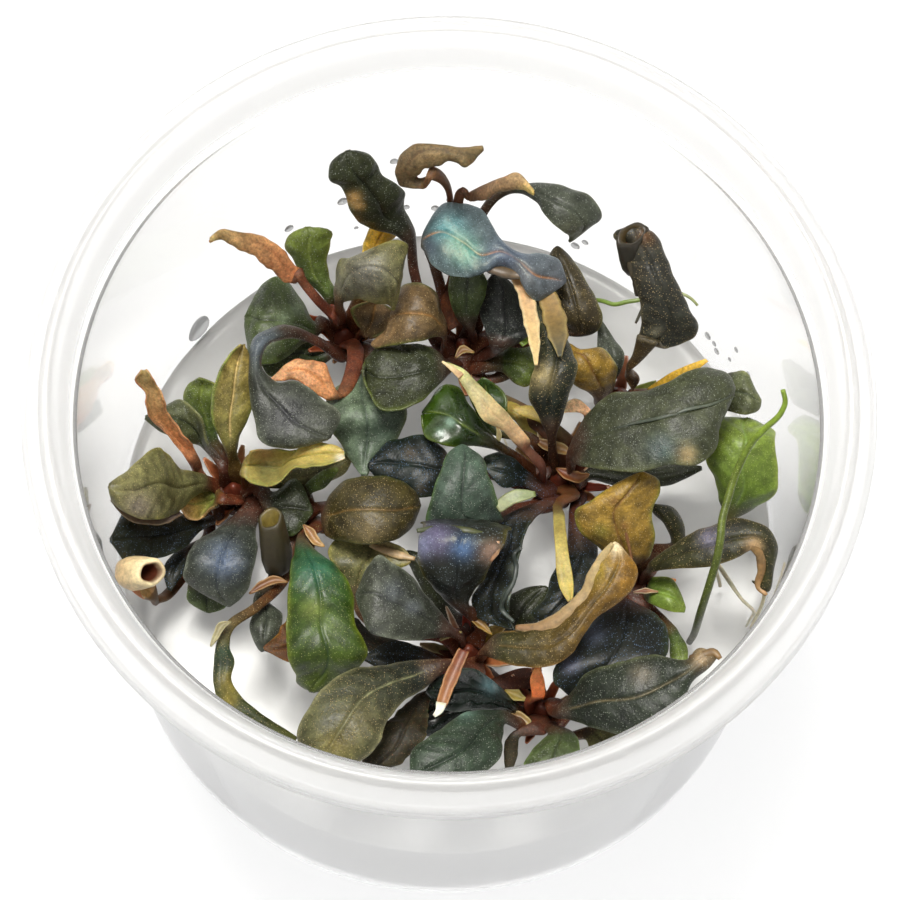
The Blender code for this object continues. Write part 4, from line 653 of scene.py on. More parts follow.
class Ceiling:
    """The lowest underside placed so far over each cell of the plan."""

    def __init__(self):
        self.count = int(2 * SETTLE_HALF / SETTLE_CELL)
        self.low = np.full((self.count, self.count), OPEN_SKY)

    def cells(self, x, y):
        """Row and column of the cells that hold the plan places."""
        return [np.clip(((a + SETTLE_HALF) / SETTLE_CELL).astype(int), 1, self.count - 2) for a in (x, y)]

    def over(self, x, y):
        """Lowest underside over the plan places and over the cells next to theirs."""
        i, j = self.cells(x, y)
        return np.min([self.low[i + a, j + b] for a in (-1, 0, 1) for b in (-1, 0, 1)], axis=0)

    def cover(self, x, y, h):
        """Take points of a blade, at the height h, into the ceiling."""
        i, j = self.cells(x, y)
        np.minimum.at(self.low, (i.ravel(), j.ravel()), h.ravel())


def between(rows):
    """Points spread over the flat quads between the rows, with the row and column that each follows."""
    n = len(rows)
    u = np.linspace(0, n - 1, (n - 1) * FINE_ALONG + 1)
    v = np.linspace(0, 2, 2 * FINE_ACROSS + 1)
    i = np.minimum(u.astype(int), n - 2)
    j = np.minimum(v.astype(int), 1)
    fu = (u - i)[:, None, None]
    fv = (v - j)[None, :, None]
    low = rows[i][:, j] * (1 - fv) + rows[i][:, j + 1] * fv
    high = rows[i + 1][:, j] * (1 - fv) + rows[i + 1][:, j + 1] * fv
    return low * (1 - fu) + high * fu, i, j


def blade_rows(spec):
    """The blade's rows with a short row at the tip."""
    tip, last = spec["tip"], spec["rows"][-1]
    side = last[2][:2] - last[0][:2]
    side = side / max(np.hypot(*side), 1e-6) * TIP_WIDTH / 2
    end = [(*(tip[:2] - side), tip[2]), tuple(tip), (*(tip[:2] + side), tip[2])]
    return np.concatenate([spec["rows"], np.array([end])])


def settle(specs):
    """Lower each blade until it clears those that lie over it."""
    ceiling = Ceiling()
    order = sorted(specs, key=lambda name: -specs[name]["rows"][:, 1, 2].mean() - specs[name]["front"])
    for name in order:
        rows = blade_rows(specs[name])
        for _ in range(SETTLE_PASSES):
            fine, i, j = between(rows)
            excess = fine[..., 2] - (ceiling.over(fine[..., 0], fine[..., 1]) - LAYER)
            if excess.max() <= 0:
                break
            for a in range(len(rows)):
                for b in range(3):
                    near = np.ix_((i == a) | (i == a - 1), (j == b) | (j == b - 1))
                    rows[a, b, 2] -= max(excess[near].max(), 0.0)
        rows[..., 2] = np.maximum(rows[..., 2], LOWEST_BLADE)
        fine, _, _ = between(rows)
        ceiling.cover(fine[..., 0], fine[..., 1], fine[..., 2])
        specs[name]["settled"] = rows


settle(LEAVES)
print("leaves settled:", len(LEAVES))

# %% [markdown]
# ## Where each stalk starts
#
# The stalks of a crown stand round its nub, each wrapped at its foot by the sheath of the next.  Every stalk
# starts on the side that its blade lies on.  Directions that are too close push each other apart, and
# neighbours start at different levels, so that no two stalks fill the same place.

# %% Round each crown
CROWN_H = 27.5
STALK_APART = math.radians(34)
SPREAD_PASSES = 60


def crown_place(crown):
    """The middle of a crown inside its nub."""
    return sight(*[np.array(v) for v in CROWNS[crown]], CROWN_H)


def spread_stalks(specs, place):
    """Directions round a crown, one for each leaf, near its blade but clear of its neighbours."""
    toward = {}
    for name, spec in specs.items():
        first = spec["stalk"][0] if len(spec["stalk"]) else spec["settled"][0][1]
        away = sight(*first)[:2] - place[:2]
        toward[name] = math.atan2(away[1], away[0])
    order = sorted(toward, key=toward.get)
    angles = np.array([toward[name] for name in order])
    apart = min(STALK_APART, 2 * math.pi / len(order))
    for _ in range(SPREAD_PASSES):
        step = np.diff(np.append(angles, angles[0] + 2 * math.pi))
        short = np.maximum(apart - step, 0.0) / 2
        angles = angles - short + np.roll(short, 1)
    return {name: (angle, number) for number, (name, angle) in enumerate(zip(order, angles))}


# %% [markdown]
# ## One leaf as a surface
#
# The rows of the stalk and of the blade are joined by a smooth curve along the leaf, and a parabola through
# the left margin, the middle and the right margin bends it across.  A stalk is round and a blade is thin, so
# the section runs from a circle to a flat lens with the two edges rounded.  A dry or torn leaf may roll up
# like paper, and then its rows are bent to arcs.

# %% The stalk's rows
FOOT_H = 26.3
FOOT_STEP = 1.3
FOOT_LEVELS = 3
FOOT_R = 1.2
KNEE_R = 3.35
KNEE_FROM_FOOT = 0.3
KNEE_UP = 2.6
KNEE_SHARE = 0.75
STALK_WIDTHS = (2.8, 2.3, 1.5, 1.3)


def stalk_rows(spec, place, angle, level):
    """Rows of the stalk from its foot at the crown, by a knee, to the blade, each turned the least way."""
    out = np.array([math.cos(angle), math.sin(angle), 0.0])
    foot = np.array([place[0], place[1], level]) + out * FOOT_R
    onward = [sight(*p) for p in spec["stalk"]] + [sight(*spec["settled"][0][1])]
    reach = np.hypot(*(onward[0][:2] - place[:2]))
    knee_r = max(FOOT_R + KNEE_FROM_FOOT, min(KNEE_R, KNEE_SHARE * reach))
    knee = np.array([place[0], place[1], min(level + KNEE_UP, onward[0][2])]) + out * knee_r
    path = [foot, knee] + onward
    after = spec["settled"][0][0][:2] - spec["settled"][0][2][:2]
    rows = []
    for number in range(len(path) - 2, -1, -1):
        here = path[number]
        heading = path[number + 1][:2] - path[number - 1][:2] if number else out[:2]
        heading = heading / max(np.hypot(*heading), 1e-6)
        side = np.array([-heading[1], heading[0], 0.0])
        if side[:2] @ after < 0:
            side = -side
        after = side[:2]
        half = STALK_WIDTHS[min(number, len(STALK_WIDTHS) - 1)] / 2
        rows.insert(0, [here + side * half, here, here - side * half])
    return np.array(rows)


# %% The sheet through the rows
HALF_STEPS = [0.0, 0.03, 0.07, 0.13, 0.22, 0.35, 0.5, 0.65, 0.79, 0.89, 0.955, 0.987, 1.0]
ACROSS = np.array([-t for t in HALF_STEPS[:0:-1]] + HALF_STEPS)
SAG_POWER = 2.6
SAG_SHARE = 0.8
LEAST_ROLL = 0.2
# leaf: (angle of the roll in radians, how slowly it closes); a negative roll has its margins turned down
ROLLS = {
    "leaf_rear_3": (-4.6, 1.0), "leaf_back_1": (-3.4, 1.0), "leaf_left_11": (5.2, 1.0),
    "leaf_left_1": (3.6, 1.0), "leaf_rear_2": (-3.0, 2.0), "leaf_far_1": (-2.1, 3.0),
}


def rolled(left, middle, right, angle, turn):
    """A row rolled to an arc: x = r sin(a v), z = r (1 - cos(a v)), with r such that its width is as seen."""
    half = np.linalg.norm(right - left, axis=-1, keepdims=True) / 2
    a = np.maximum(angle, LEAST_ROLL)[:, None, None] / 2
    r = half / np.sin(np.minimum(a, np.pi / 2))
    phi = a * ACROSS[None, :, None]
    lift = turn * r * (0.5 - np.cos(phi))
    centre = (left + right) / 4 + middle / 2
    return centre + unit(right - left) * r * np.sin(phi) + np.array([0.0, 0.0, 1.0]) * lift


def leaf_sheet(name, rows, s, base_s):
    """The sheet halfway through the leaf: in plan a parabola through the three points of each row.

    Its height falls from the middle's to a margin's as |v|^SAG_POWER, mixed with a straight fall.
    """
    left, middle, right = rows[:, 0:1], rows[:, 1:2], rows[:, 2:3]
    v = ACROSS[None, :, None]
    sheet = left * (v * v - v) / 2 + middle * (1 - v * v) + right * (v * v + v) / 2
    fall = np.where(v < 0, left - middle, right - middle)[..., 2]
    bent = np.abs(ACROSS) ** SAG_POWER * SAG_SHARE + np.abs(ACROSS) * (1 - SAG_SHARE)
    sheet[..., 2] = middle[..., 2] + fall * bent
    roll, slowly = ROLLS.get(name, (0.0, 1.0))
    if roll:
        angle = abs(roll) * fade(base_s - 2, base_s + 2 * slowly, s)
        sheet = rolled(left, middle, right, angle, np.sign(roll))
    return sheet


# %% [markdown]
# ## Ripples, midrib and veins
#
# A living blade is never flat.  Its margins ripple because they grow faster than the middle, the midrib lies
# in a groove, the two halves arch, and side veins run forward as low ridges.  Each of these is a wave or a
# bell curve of the place on the blade, added up as one shift along the sheet's normal.  Every leaf starts its
# waves from numbers drawn for its own name, so that no two are alike.

# %% The blade's relief
GROOVE_MM, GROOVE_WIDE_MM = 0.22, 0.22
SWELL_SHARE, SWELL_WIDE_MM = 0.45, 0.75
ARCH_MM = 0.28
RIDGE_MM = 0.07
VEIN_MM = 2.1
VEIN_SLANT = 0.9
DENT_MM = 0.12
FULL_TURN = 6.28
SECOND_WAVE = 0.43
# half widths in mm between which the groove, and the arches, ridges and dents, come in
GROOVE_FROM = (0.6, 1.6)
BROAD_FROM = (0.8, 3.5)


def ridge_heights(s, half):
    """Low ridges over the side veins: RIDGE_MM sin(2 pi (s - VEIN_SLANT |x|) / VEIN_MM), clear of edges."""
    v = np.abs(ACROSS)
    ridges = RIDGE_MM * np.sin(2 * np.pi * (s - VEIN_SLANT * v * half) / VEIN_MM)
    return ridges * fade(*BROAD_FROM, half) * fade(0.05, 0.3, v) * (1 - fade(0.85, 1.0, v))


def relief(seed, s, half, ripple, ripple_mm):
    """How far the sheet moves along its normal, for distances s along it and x = v half across it.

    Ripples grow as |v|^3 sin(2 pi s / ripple_mm), with a finer wave on top and the two sides out of step.
    The arch goes as sin(pi |v|), dents as sin(0.83 s) sin(1.1 x), and the groove, with a low swelling at its
    sides, as exp(-(x / GROOVE_WIDE_MM)^2).
    """
    v, x, right = ACROSS, ACROSS * half, ACROSS > 0
    wave = np.sin(2 * np.pi * s / ripple_mm + seed.uniform(0, FULL_TURN)
                  + np.pi * seed.uniform(0.5, 1.4) * right)
    wave = wave + 0.5 * np.sin(2 * np.pi * s / (ripple_mm * SECOND_WAVE) + seed.uniform(0, FULL_TURN)
                               + 2.1 * right)
    swell = ripple * np.abs(v) ** 3 * wave * np.clip(half / 2.5, 0, 1)
    broad = fade(*BROAD_FROM, half)
    arch = ARCH_MM * np.sin(np.pi * np.abs(v)) * broad * seed.uniform(0.2, 1.3)
    dents = (DENT_MM * np.sin(s * 0.83 + seed.uniform(0, FULL_TURN))
             * np.sin(x * 1.1 + seed.uniform(0, FULL_TURN)) * broad)
    groove = np.exp(-(x / GROOVE_WIDE_MM) ** 2) - SWELL_SHARE * np.exp(-(x / SWELL_WIDE_MM) ** 2)
    return swell + arch + ridge_heights(s, half) + dents - GROOVE_MM * groove * fade(*GROOVE_FROM, half)


# %% The whole leaf
BLADE_MM = 0.34
STALK_MM = 1.0
THICK_TO_HALF = 1.1
LEAST_HALF_MM = 0.12
JOIN_BEFORE, JOIN_AFTER = 2.5, 1.5
KEEL_MM, KEEL_WIDE_MM = 0.2, 0.4
LEAF_STEP = 0.32
# leaf: how many times as wide as its rows the blade is made
WIDER = {
    "leaf_back_9": 1.35, "leaf_right_9": 1.3, "leaf_left_5": 1.1, "leaf_middle_2": 1.12, "leaf_rear_7": 1.1,
    "leaf_left_7": 1.15, "leaf_rim_1": 1.3, "leaf_far_3": 1.15, "side_green": 1.5, "leaf_right_4": 1.08,
    "leaf_front_1": 1.06, "leaf_right_3": 1.1, "rear_green": 1.2, "leaf_rear_6": 1.08,
}


def leaf_shell(name, spec, place, start, ripple, ripple_mm):
    """Rings of one leaf, and facts for the colours of each of their points.

    The two faces lie at half the thickness t (1 - |v|^p)^(1/p) from the sheet, where p goes from 2 on the
    round stalk to 6 on the flat blade.  A keel under the midrib thickens it from below.
    """
    angle, number = start
    blade = np.array([[sight(*p) for p in row] for row in spec["settled"]])
    blade = blade[:, 1:2] + (blade - blade[:, 1:2]) * WIDER.get(name, 1.0)
    stalk = stalk_rows(spec, place, angle, FOOT_H + FOOT_STEP * (number % FOOT_LEVELS))
    rows, s, at = smooth_path(np.concatenate([stalk, blade]), LEAF_STEP)
    base_s = at[len(stalk)]
    sheet = leaf_sheet(name, rows, s, base_s)
    normal = unit(np.cross(np.gradient(sheet, axis=1), np.gradient(sheet, axis=0)))
    if normal[s > base_s][..., 2].mean() <= 0:
        normal = -normal
    length = s[-1] - base_s
    s = s[:, None]
    half = np.linalg.norm(rows[:, 2:3] - rows[:, 0:1], axis=-1) / 2
    on_blade = fade(base_s - JOIN_BEFORE, base_s + JOIN_AFTER, s)
    seed = np.random.default_rng(zlib.crc32(name.encode()))
    sheet = sheet + normal * (relief(seed, s, half, ripple, ripple_mm) * on_blade)[..., None]
    power = 2 + 4 * on_blade
    thick = STALK_MM + (BLADE_MM - STALK_MM) * on_blade
    thick = np.minimum(thick, THICK_TO_HALF * np.maximum(half, LEAST_HALF_MM))
    lens = thick / 2 * (1 - np.abs(ACROSS) ** power) ** (1 / power)
    keel = KEEL_MM * np.exp(-(ACROSS * half / KEEL_WIDE_MM) ** 2) * on_blade * fade(*GROOVE_FROM, half)
    rings = both_faces(sheet + normal * lens[..., None], sheet - normal * (lens + keel)[..., None])
    each = np.zeros(lens.shape)
    along = np.clip((s - base_s) / length, -1, 1) + each
    facts = [(along, along), (ACROSS + each, ACROSS + each), (half + each, half + each),
             (s / base_s + each, s / base_s + each), (1 + each, each), (ridge_heights(s, half), each)]
    return rings, [both_faces(*pair).reshape(-1, 1) for pair in facts]


# %% [markdown]
# ## Colours of a leaf
#
# New tissue is red or pink, a grown blade is nearly black with green or bronze in it, and old tissue turns
# ochre and then tan.  Each kind of leaf has its own tones for the blade from base to tip, the margin, the
# midrib, the underside and the stalk.  They are the colours of the tissue alone: the shine on them comes from
# the lamp, the sky and the skin, apart from the painted light and shade on the vein ridges and the painted
# sheen, painted highlights and painted shade that some marks below add.

# %% Tones of each kind
# kind skin | blade at its base, blade at its tip, margin, midrib, underside, stalk low, stalk high;
TONE_TABLE = """
dead withered | #b4744a #a8925e #6c4929 #7b401e #bb8052 #592714 #6d4227;
green speckled | #415124 #65722e #82823c #727f3a #767940 #512815 #444225;
deep speckled | #343f20 #47532c #61743b #252c1a #46502f #482414 #363324;
olive satin | #5a5935 #706c41 #7f7939 #423f21 #99854d #552714 #493f2a;
bronze satin | #58462a #72593a #576027 #845f30 #916f3f #552915 #4f3e26;
ochre satin | #c0962d #e5b63d #a8902e #966d22 #b69140 #592f17 #625027;
slate speckled | #2e3128 #3e4135 #6c7160 #252723 #6a6746 #492415 #37312a;
peach withered | #b67d50 #c8986c #b46c42 #b0703c #d8a074 #5e2d18 #7b5332;
sage speckled | #505d47 #60705a #878b5b #3b4739 #7c8057 #4a2917 #3e3c2a;
ink speckled | #222612 #2c3016 #444b2c #181c0f #535334 #482214 #362c21;
taupe withered | #604d31 #7a6742 #4d3c26 #554129 #927851 #603217 #654527;
tan_roll withered | #6f4f38 #9d845d #8a6e4c #694830 #a5825a #592b17 #5c3e26;
grey speckled | #32362c #44483b #646853 #282d24 #606147 #482615 #3a3427;
iridescent iridescent | #4e5d5f #4f5156 #6f7e7e #b67838 #87714d #552b17 #444239;
dotted satin | #322a17 #3d351c #6c6824 #272211 #594c27 #4d2615 #3c2e20;
plum speckled | #272a28 #333532 #494d49 #191a1b #52493a #482214 #342922;
glossy speckled | #262a15 #2f331a #4e5822 #1e2314 #565a30 #4a2617 #3a3727;
teal speckled | #44492e #585c3a #7b7c4e #2f3726 #696f42 #4a2617 #3a3a2d;
striped satin | #6c6732 #86733b #697b31 #c0a66c #978954 #59441e #575129;
decayed satin | #5c6a2c #b08048 #e2b47c #7c7a3c #c89a5c #5e2c18 #655629;
black starry | #101308 #171b0d #2a311f #0b0e07 #2e301e #452314 #2e271c;
lemon pale | #9b8c49 #b9a659 #8b8a41 #a4974f #a9ae65 #5c371b #6a5f33;
cream_roll pale | #b48a52 #dcc08c #e2cc9c #a97c48 #a4602a #502d19 #62482d;
bean satin | #302909 #38300e #3e430f #664d22 #66592e #512815 #453824;
lime glossy_green | #1d3d0d #3a4602 #5c660f #163204 #5a6f1f #512917 #3a4633;
thin_olive satin | #263423 #404217 #626824 #212a1e #606024 #553219 #474525;
rust withered | #452601 #5a3502 #724f08 #422201 #784c11 #512714 #57391d;
spotted starry | #050b04 #070f06 #202d10 #050a05 #242b1b #482414 #332d25;
rollover iridescent | #16150b #1a190d #514b13 #14140e #302c1e #4d2615 #362e26;
bronze_grey satin | #1d231d #565530 #7d7a57 #767756 #686545 #4d2615 #3a3226;
gold_fold satin | #302f14 #79540f #a27b3b #4c3c15 #9f7432 #552714 #443d2d;
brown withered | #241e0d #302914 #50482e #1f180b #463a2a #4d2615 #3f3025;
teal_gloss speckled | #212d1f #293726 #49523f #1a271c #485237 #4d2615 #36352a;
black_teal wet | #071008 #0c150e #293428 #070e09 #262e21 #4d2414 #302d22;
slate_big speckled | #181e13 #1f2718 #53583b #5f553b #48492f #4d2615 #38342a;
emerald wet | #172606 #2f450a #4b5919 #59672b #4c5e22 #4a2917 #333e1d;
straw pale | #ae8d68 #c0c688 #c1b87e #be9e73 #ccb27e #5e2c1e #75503b;
mist speckled | #2e3a30 #47594a #4b642d #262f28 #545d43 #482315 #353127;
big_grey speckled | #313422 #383c26 #525636 #2a2f22 #66603c #452315 #363025;
strap satin | #0d160f #303012 #6b653c #0e1610 #777041 #412314 #34291f;
gold satin | #795f21 #917228 #6a7025 #68421a #8a6f3c #512715 #574527;
curl satin | #2c2c12 #303016 #615325 #242413 #755a29 #512815 #3e3426;
fresh glossy_green | #576d25 #70812e #89963b #758e40 #7c8d43 #50321b #444d24;
starry starry | #080c02 #0c1204 #283319 #070a03 #262e1f #452314 #2e2721;
tower satin | #24261e #2e2c23 #5f5842 #1d1f18 #473823 #51371b #443c26;
orange_stub pale | #d9713c #f49b59 #bd6134 #ff8d45 #ff9c58 #622815 #7e4526;
navy starry | #071106 #0c180b #1b2b1f #070e08 #222922 #452314 #2e2822;
lime_strip pale | #857431 #a59149 #7a6e28 #bd973f #bdaa5d #55321d #5f5630;
rose withered | #dfac81 #ffe2b0 #ad7657 #c38f6e #bc9076 #552717 #5f4233;
"""
TONES = {kind: (skin, tones) for (kind, skin), ((tones,),) in records(TONE_TABLE)}
print("kinds of leaf:", len(TONES))

# %% [markdown]
# ## Marks and painted light of single leaves
#
# Single leaves have spots of rot or a part that is still young, and a few get painted light: painted bluish
# and iridescent sheen, painted highlights and painted shade.  A mark is a soft round spot that fades outwards
# as a bell curve.  It is placed where it is seen on the plan, like the leaf itself, so it stays on the blade
# however the pile settles.

# %% Marks and painted light
# leaf | x and y on the plan, radius in mm, colour, strength;
# painted highlights: leaf_back_9 #8f9a94, the pale glints #9ab8a4 on leaf_right_1, leaf_rim_3 #6a8c92 and the
# lilac spots of leaf_side_4
# painted shade: leaf_far_1 #2c2618 darkens the rolled blade's shadowed inner face
# painted sheen: leaf_back_7 #5f6a78 and leaf_left_8 #5c6c88 are a painted bluish sheen; the spots of
# leaf_rear_5 and the lilac and blue spots of leaf_front_1 are painted iridescent sheen
MARK_AND_PAINTED_LIGHT_TABLE = """
leaf_back_3 | -19.2 20 0.9 #8a9a7a 0.6, -20.6 18.6 0.8 #8a9a7a 0.5;
leaf_back_4 | -10.6 25 3 #6c6a66 0.7, -13.4 22.4 2 #55564c 0.6;
leaf_rear_1 | -12.7 35 0.9 #b08a50 0.95, -12.4 32 0.6 #b08a50 0.9, -11.9 33.9 0.6 #b08a50 0.9;
leaf_back_7 | -24 15.5 3 #5f6a78 0.5, -19.6 5.6 2.8 #2c2b33 0.65;
leaf_back_9 | -9.5 19 1.6 #8f9a94 0.35, -8.3 4.2 2.8 #2c3a34 0.6;
leaf_rear_5 | -0.6 31 1.8 #4f9298 0.7, 1.6 28.2 1.7 #5fa08c 0.7, 0.2 29.6 1.4 #7a9a80 0.5,
 6.5 27.5 2.6 #566074 0.8, 8.5 25.4 1.6 #6a6c70 0.8, -3.4 28.6 1.6 #3d4250 0.7;
leaf_rear_6 | 6.5 22 2 #6a6a30 0.4;
leaf_right_9 | -4.5 1.3 0.7 #5f4c36 0.6, -3 -3.3 0.7 #4f4436 0.5, -5 -1 3 #101d18 0.7;
leaf_left_9 | -18.4 -6.2 4 #17160d 0.85;
leaf_right_1 | 0.2 5.6 0.6 #9ab8a4 0.7, -0.9 4.2 0.5 #9ab8a4 0.6;
leaf_right_5 | 8.6 -13 0.7 #a8b0a0 0.5, 8 -16.5 0.7 #a8b0a0 0.5;
leaf_right_4 | 8 -6 1.8 #33484c 0.5;
leaf_front_1 | -1 -9.6 1.9 #6c6484 0.7, 2.2 -10.6 1.5 #4c6890 0.7, 5.8 -11.2 1.3 #a48674 0.9,
 -3 -10.4 1.5 #7c80a0 0.6, 1 -15 2 #2c3032 0.5;
leaf_front_3 | -7 -11.2 1.1 #a28a64 0.8, -4 -11.9 1 #a28a64 0.8, -6 -14.5 1.8 #8a8c30 0.35;
leaf_front_2 | -6 -16.4 1.3 #6a7078 0.4, -3.6 -18.4 1 #6a7078 0.4, -8 -23.4 1.2 #8a8c8c 0.5,
 -8.4 -21.7 0.9 #15181a 0.8;
leaf_middle_1 | -12 -2.8 2 #3d3726 0.6, -9 -8.6 2.2 #7e6e4c 0.5;
leaf_middle_2 | -15.6 -19 1.4 #8c9450 0.4, -13.2 -21 1.2 #7c8c58 0.35, -15.5 -13.6 2.4 #2e6a58 0.5;
leaf_middle_3 | -25 -28.6 1.4 #8c7c32 0.7, -24.9 -30.8 1 #8c7c32 0.6;
leaf_left_8 | -24.6 -21 2.6 #354638 0.4, -26.4 -13.2 2.4 #5c6c88 0.6, -28.4 -15.6 1.4 #22261f 0.7,
 -23.6 -11.6 1.4 #2a2f26 0.7;
leaf_left_10 | -12.9 0.4 0.6 #efe8d6 0.9, -22.3 0.7 1.5 #a87f58 0.8, -21.6 -1.5 1.9 #62643c 0.8;
leaf_left_5 | -37 -6.6 2 #6a5a64 0.45;
leaf_left_6 | -26.4 -8.3 1.4 #e8923c 0.8;
leaf_front_4 | -9.4 -32.6 2.2 #6c6440 0.5, -12 -35.8 1.8 #7c6e38 0.6;
leaf_front_5 | 13.8 -15.4 2.4 #6a6030 0.6, 17.6 -12.6 2.2 #a8963c 0.6, 20.6 -9.6 1.2 #dccca4 0.8,
 11.5 -17.4 1.8 #4a5546 0.6;
leaf_right_6 | 29 2.3 1 #b39c6e 0.8, 26 3 1.8 #455c60 0.45;
leaf_right_7 | 11.2 12 1.5 #c8b276 0.4;
leaf_side_1 | 20.4 -4 0.6 #6a4326 0.7, 21.6 -7.2 0.6 #6a4326 0.7, 22.4 -11 0.6 #6a4326 0.7,
 18.8 -8 1.1 #6c7030 0.5;
leaf_side_2 | 37.2 -9.3 1 #b09068 0.9, 32 -8.2 1.4 #8b86a0 0.5;
leaf_side_3 | 35 -9 2 #568a34 0.4;
leaf_side_4 | 18 -20.8 1.3 #6f7890 0.45, 15.4 -25 1 #7c8098 0.5;
leaf_rim_4 | 24 -25.9 1.3 #8c7c64 0.3, 31.4 -23.4 1.5 #a08662 0.9;
leaf_rim_2 | 3 -31 1.2 #6f8c80 0.5;
leaf_rim_3 | 6 -27.6 1 #6a8c92 0.6;
leaf_far_1 | 23.8 31 1 #7c5028 0.5, 22.6 26 1.6 #2c2618 0.6, 25.2 18.4 0.8 #8a8672 0.6;
leaf_rear_3 | 9.4 36 1.5 #e0c46c 0.8;
leaf_rear_4 | 14.5 31.5 1.5 #8a8a6a 0.3;
"""
MARKS_AND_PAINTED_LIGHT = {name: marks for (name,), (marks,) in records(MARK_AND_PAINTED_LIGHT_TABLE)}
print("leaves with marks:", len(MARKS_AND_PAINTED_LIGHT))

# %% The tint of every point
MARGIN_SHARE = 0.8
MIDRIB_SHARE = 0.85
MIDRIB_MM = 0.13
# the blade is painted lighter on the crests of the vein ridges and darker in the troughs: painted light and
# shade of the relief
RIDGE_PAINTED_LIGHT_AND_SHADE = 2.4
TIP_POWER = 1.3


def leaf_tints(name, tones, points, facts):
    """Linear colours of a leaf's points: its kind's tones along the blade, then margin, midrib, the painted
    light and shade of the vein ridges, and marks, a few of which are painted sheen, highlights and shade.

    A slow wave over the place, sin(0.9 x) sin(0.7 y), lightens and darkens the blade a little.
    """
    base, tip, edge, rib, under, low, high = tones
    along, across, half, lift, top, ridge = facts
    seed = zlib.crc32(name.encode()) % 1000
    far = np.abs(across)
    blade = ramp([(0, base), (1, tip)], np.clip(along[:, 0], 0, 1) ** TIP_POWER)
    uneven = 0.5 + 0.5 * np.sin(points[:, :1] * 0.9 + seed) * np.sin(points[:, 1:2] * 0.7 + 2.1 * seed)
    blade = blade * (0.86 + 0.28 * uneven)
    margin = fade(0.84, 1.0, far) * fade(0.7, 1.6, half)
    blade = blade + (linear(edge) - blade) * margin * MARGIN_SHARE
    vein = np.exp(-(across * half / MIDRIB_MM) ** 2) * fade(0.8, 1.8, half) * (1 - fade(0.8, 1.0, along))
    blade = blade + (linear(rib) - blade) * vein * MIDRIB_SHARE
    # painted light on the vein ridges' crests and painted shade between them
    blade = blade * (1 + RIDGE_PAINTED_LIGHT_AND_SHADE * ridge)
    below = linear(under) * (0.85 + 0.3 * uneven)
    blade = below + (blade - below) * top
    spots = seen_at(points)
    # marks paint spots of the tissue's own colour, and also painted sheen, painted highlights and painted
    # shade
    for px, py, radius, colour, strength in MARKS_AND_PAINTED_LIGHT.get(name, ()):
        gap = ((spots[:, :1] - px) ** 2 + (spots[:, 1:2] - py) ** 2) / radius**2
        blade = blade + (linear(colour) - blade) * np.exp(-gap) * strength * (0.4 + 0.6 * top)
    stalk = ramp([(0, low), (0.55, low), (1, high)], np.clip(lift[:, 0], 0, 1))
    blade = stalk + (blade - stalk) * fade(-0.06, 0.05, along)
    return np.clip(blade, 0.002, 0.95)


# %% [markdown]
# ## Skins
#
# A bucephalandra leaf is a thick, waxy blade.  Close to, most grown blades are sown with pale dots about a
# tenth of a millimetre wide, which glitter.  The skins differ in how wet they are and how strong the dots
# show, so a few materials serve every leaf, and the tones come from each leaf's own colours.

# %% Leaf materials
DOT_CELL_MM = 0.21
DOT_MM = 0.052
MOTTLE_MM = 1.9
CELL_MM = 0.35
LIT_THROUGH = 0.35
LIT_DEPTH_MM = 0.5
FILM_NM = 210.0
SKINS = {
    # skin: roughness, coat, dot strength, dot colour, cell shade, mottle, bump in mm
    "speckled": (0.42, 0.03, 0.95, "#b9bfae", 0.28, 0.46, 0.110),
    "satin": (0.43, 0.03, 0.95, "#e0c488", 0.32, 0.48, 0.110),
    "wet": (0.27, 0.30, 0.25, "#8fb0ae", 0.18, 0.30, 0.030),
    "glossy_green": (0.38, 0.05, 0.55, "#d9df8a", 0.22, 0.34, 0.070),
    "starry": (0.44, 0.02, 0.95, "#7f9fc8", 0.24, 0.38, 0.070),
    "iridescent": (0.38, 0.00, 0.75, "#b4c8d2", 0.24, 0.34, 0.060),
    "withered": (0.58, 0.00, 0.30, "#e0b888", 0.38, 0.44, 0.110),
    "pale": (0.50, 0.00, 0.10, "#f0e6b0", 0.22, 0.26, 0.060),
}


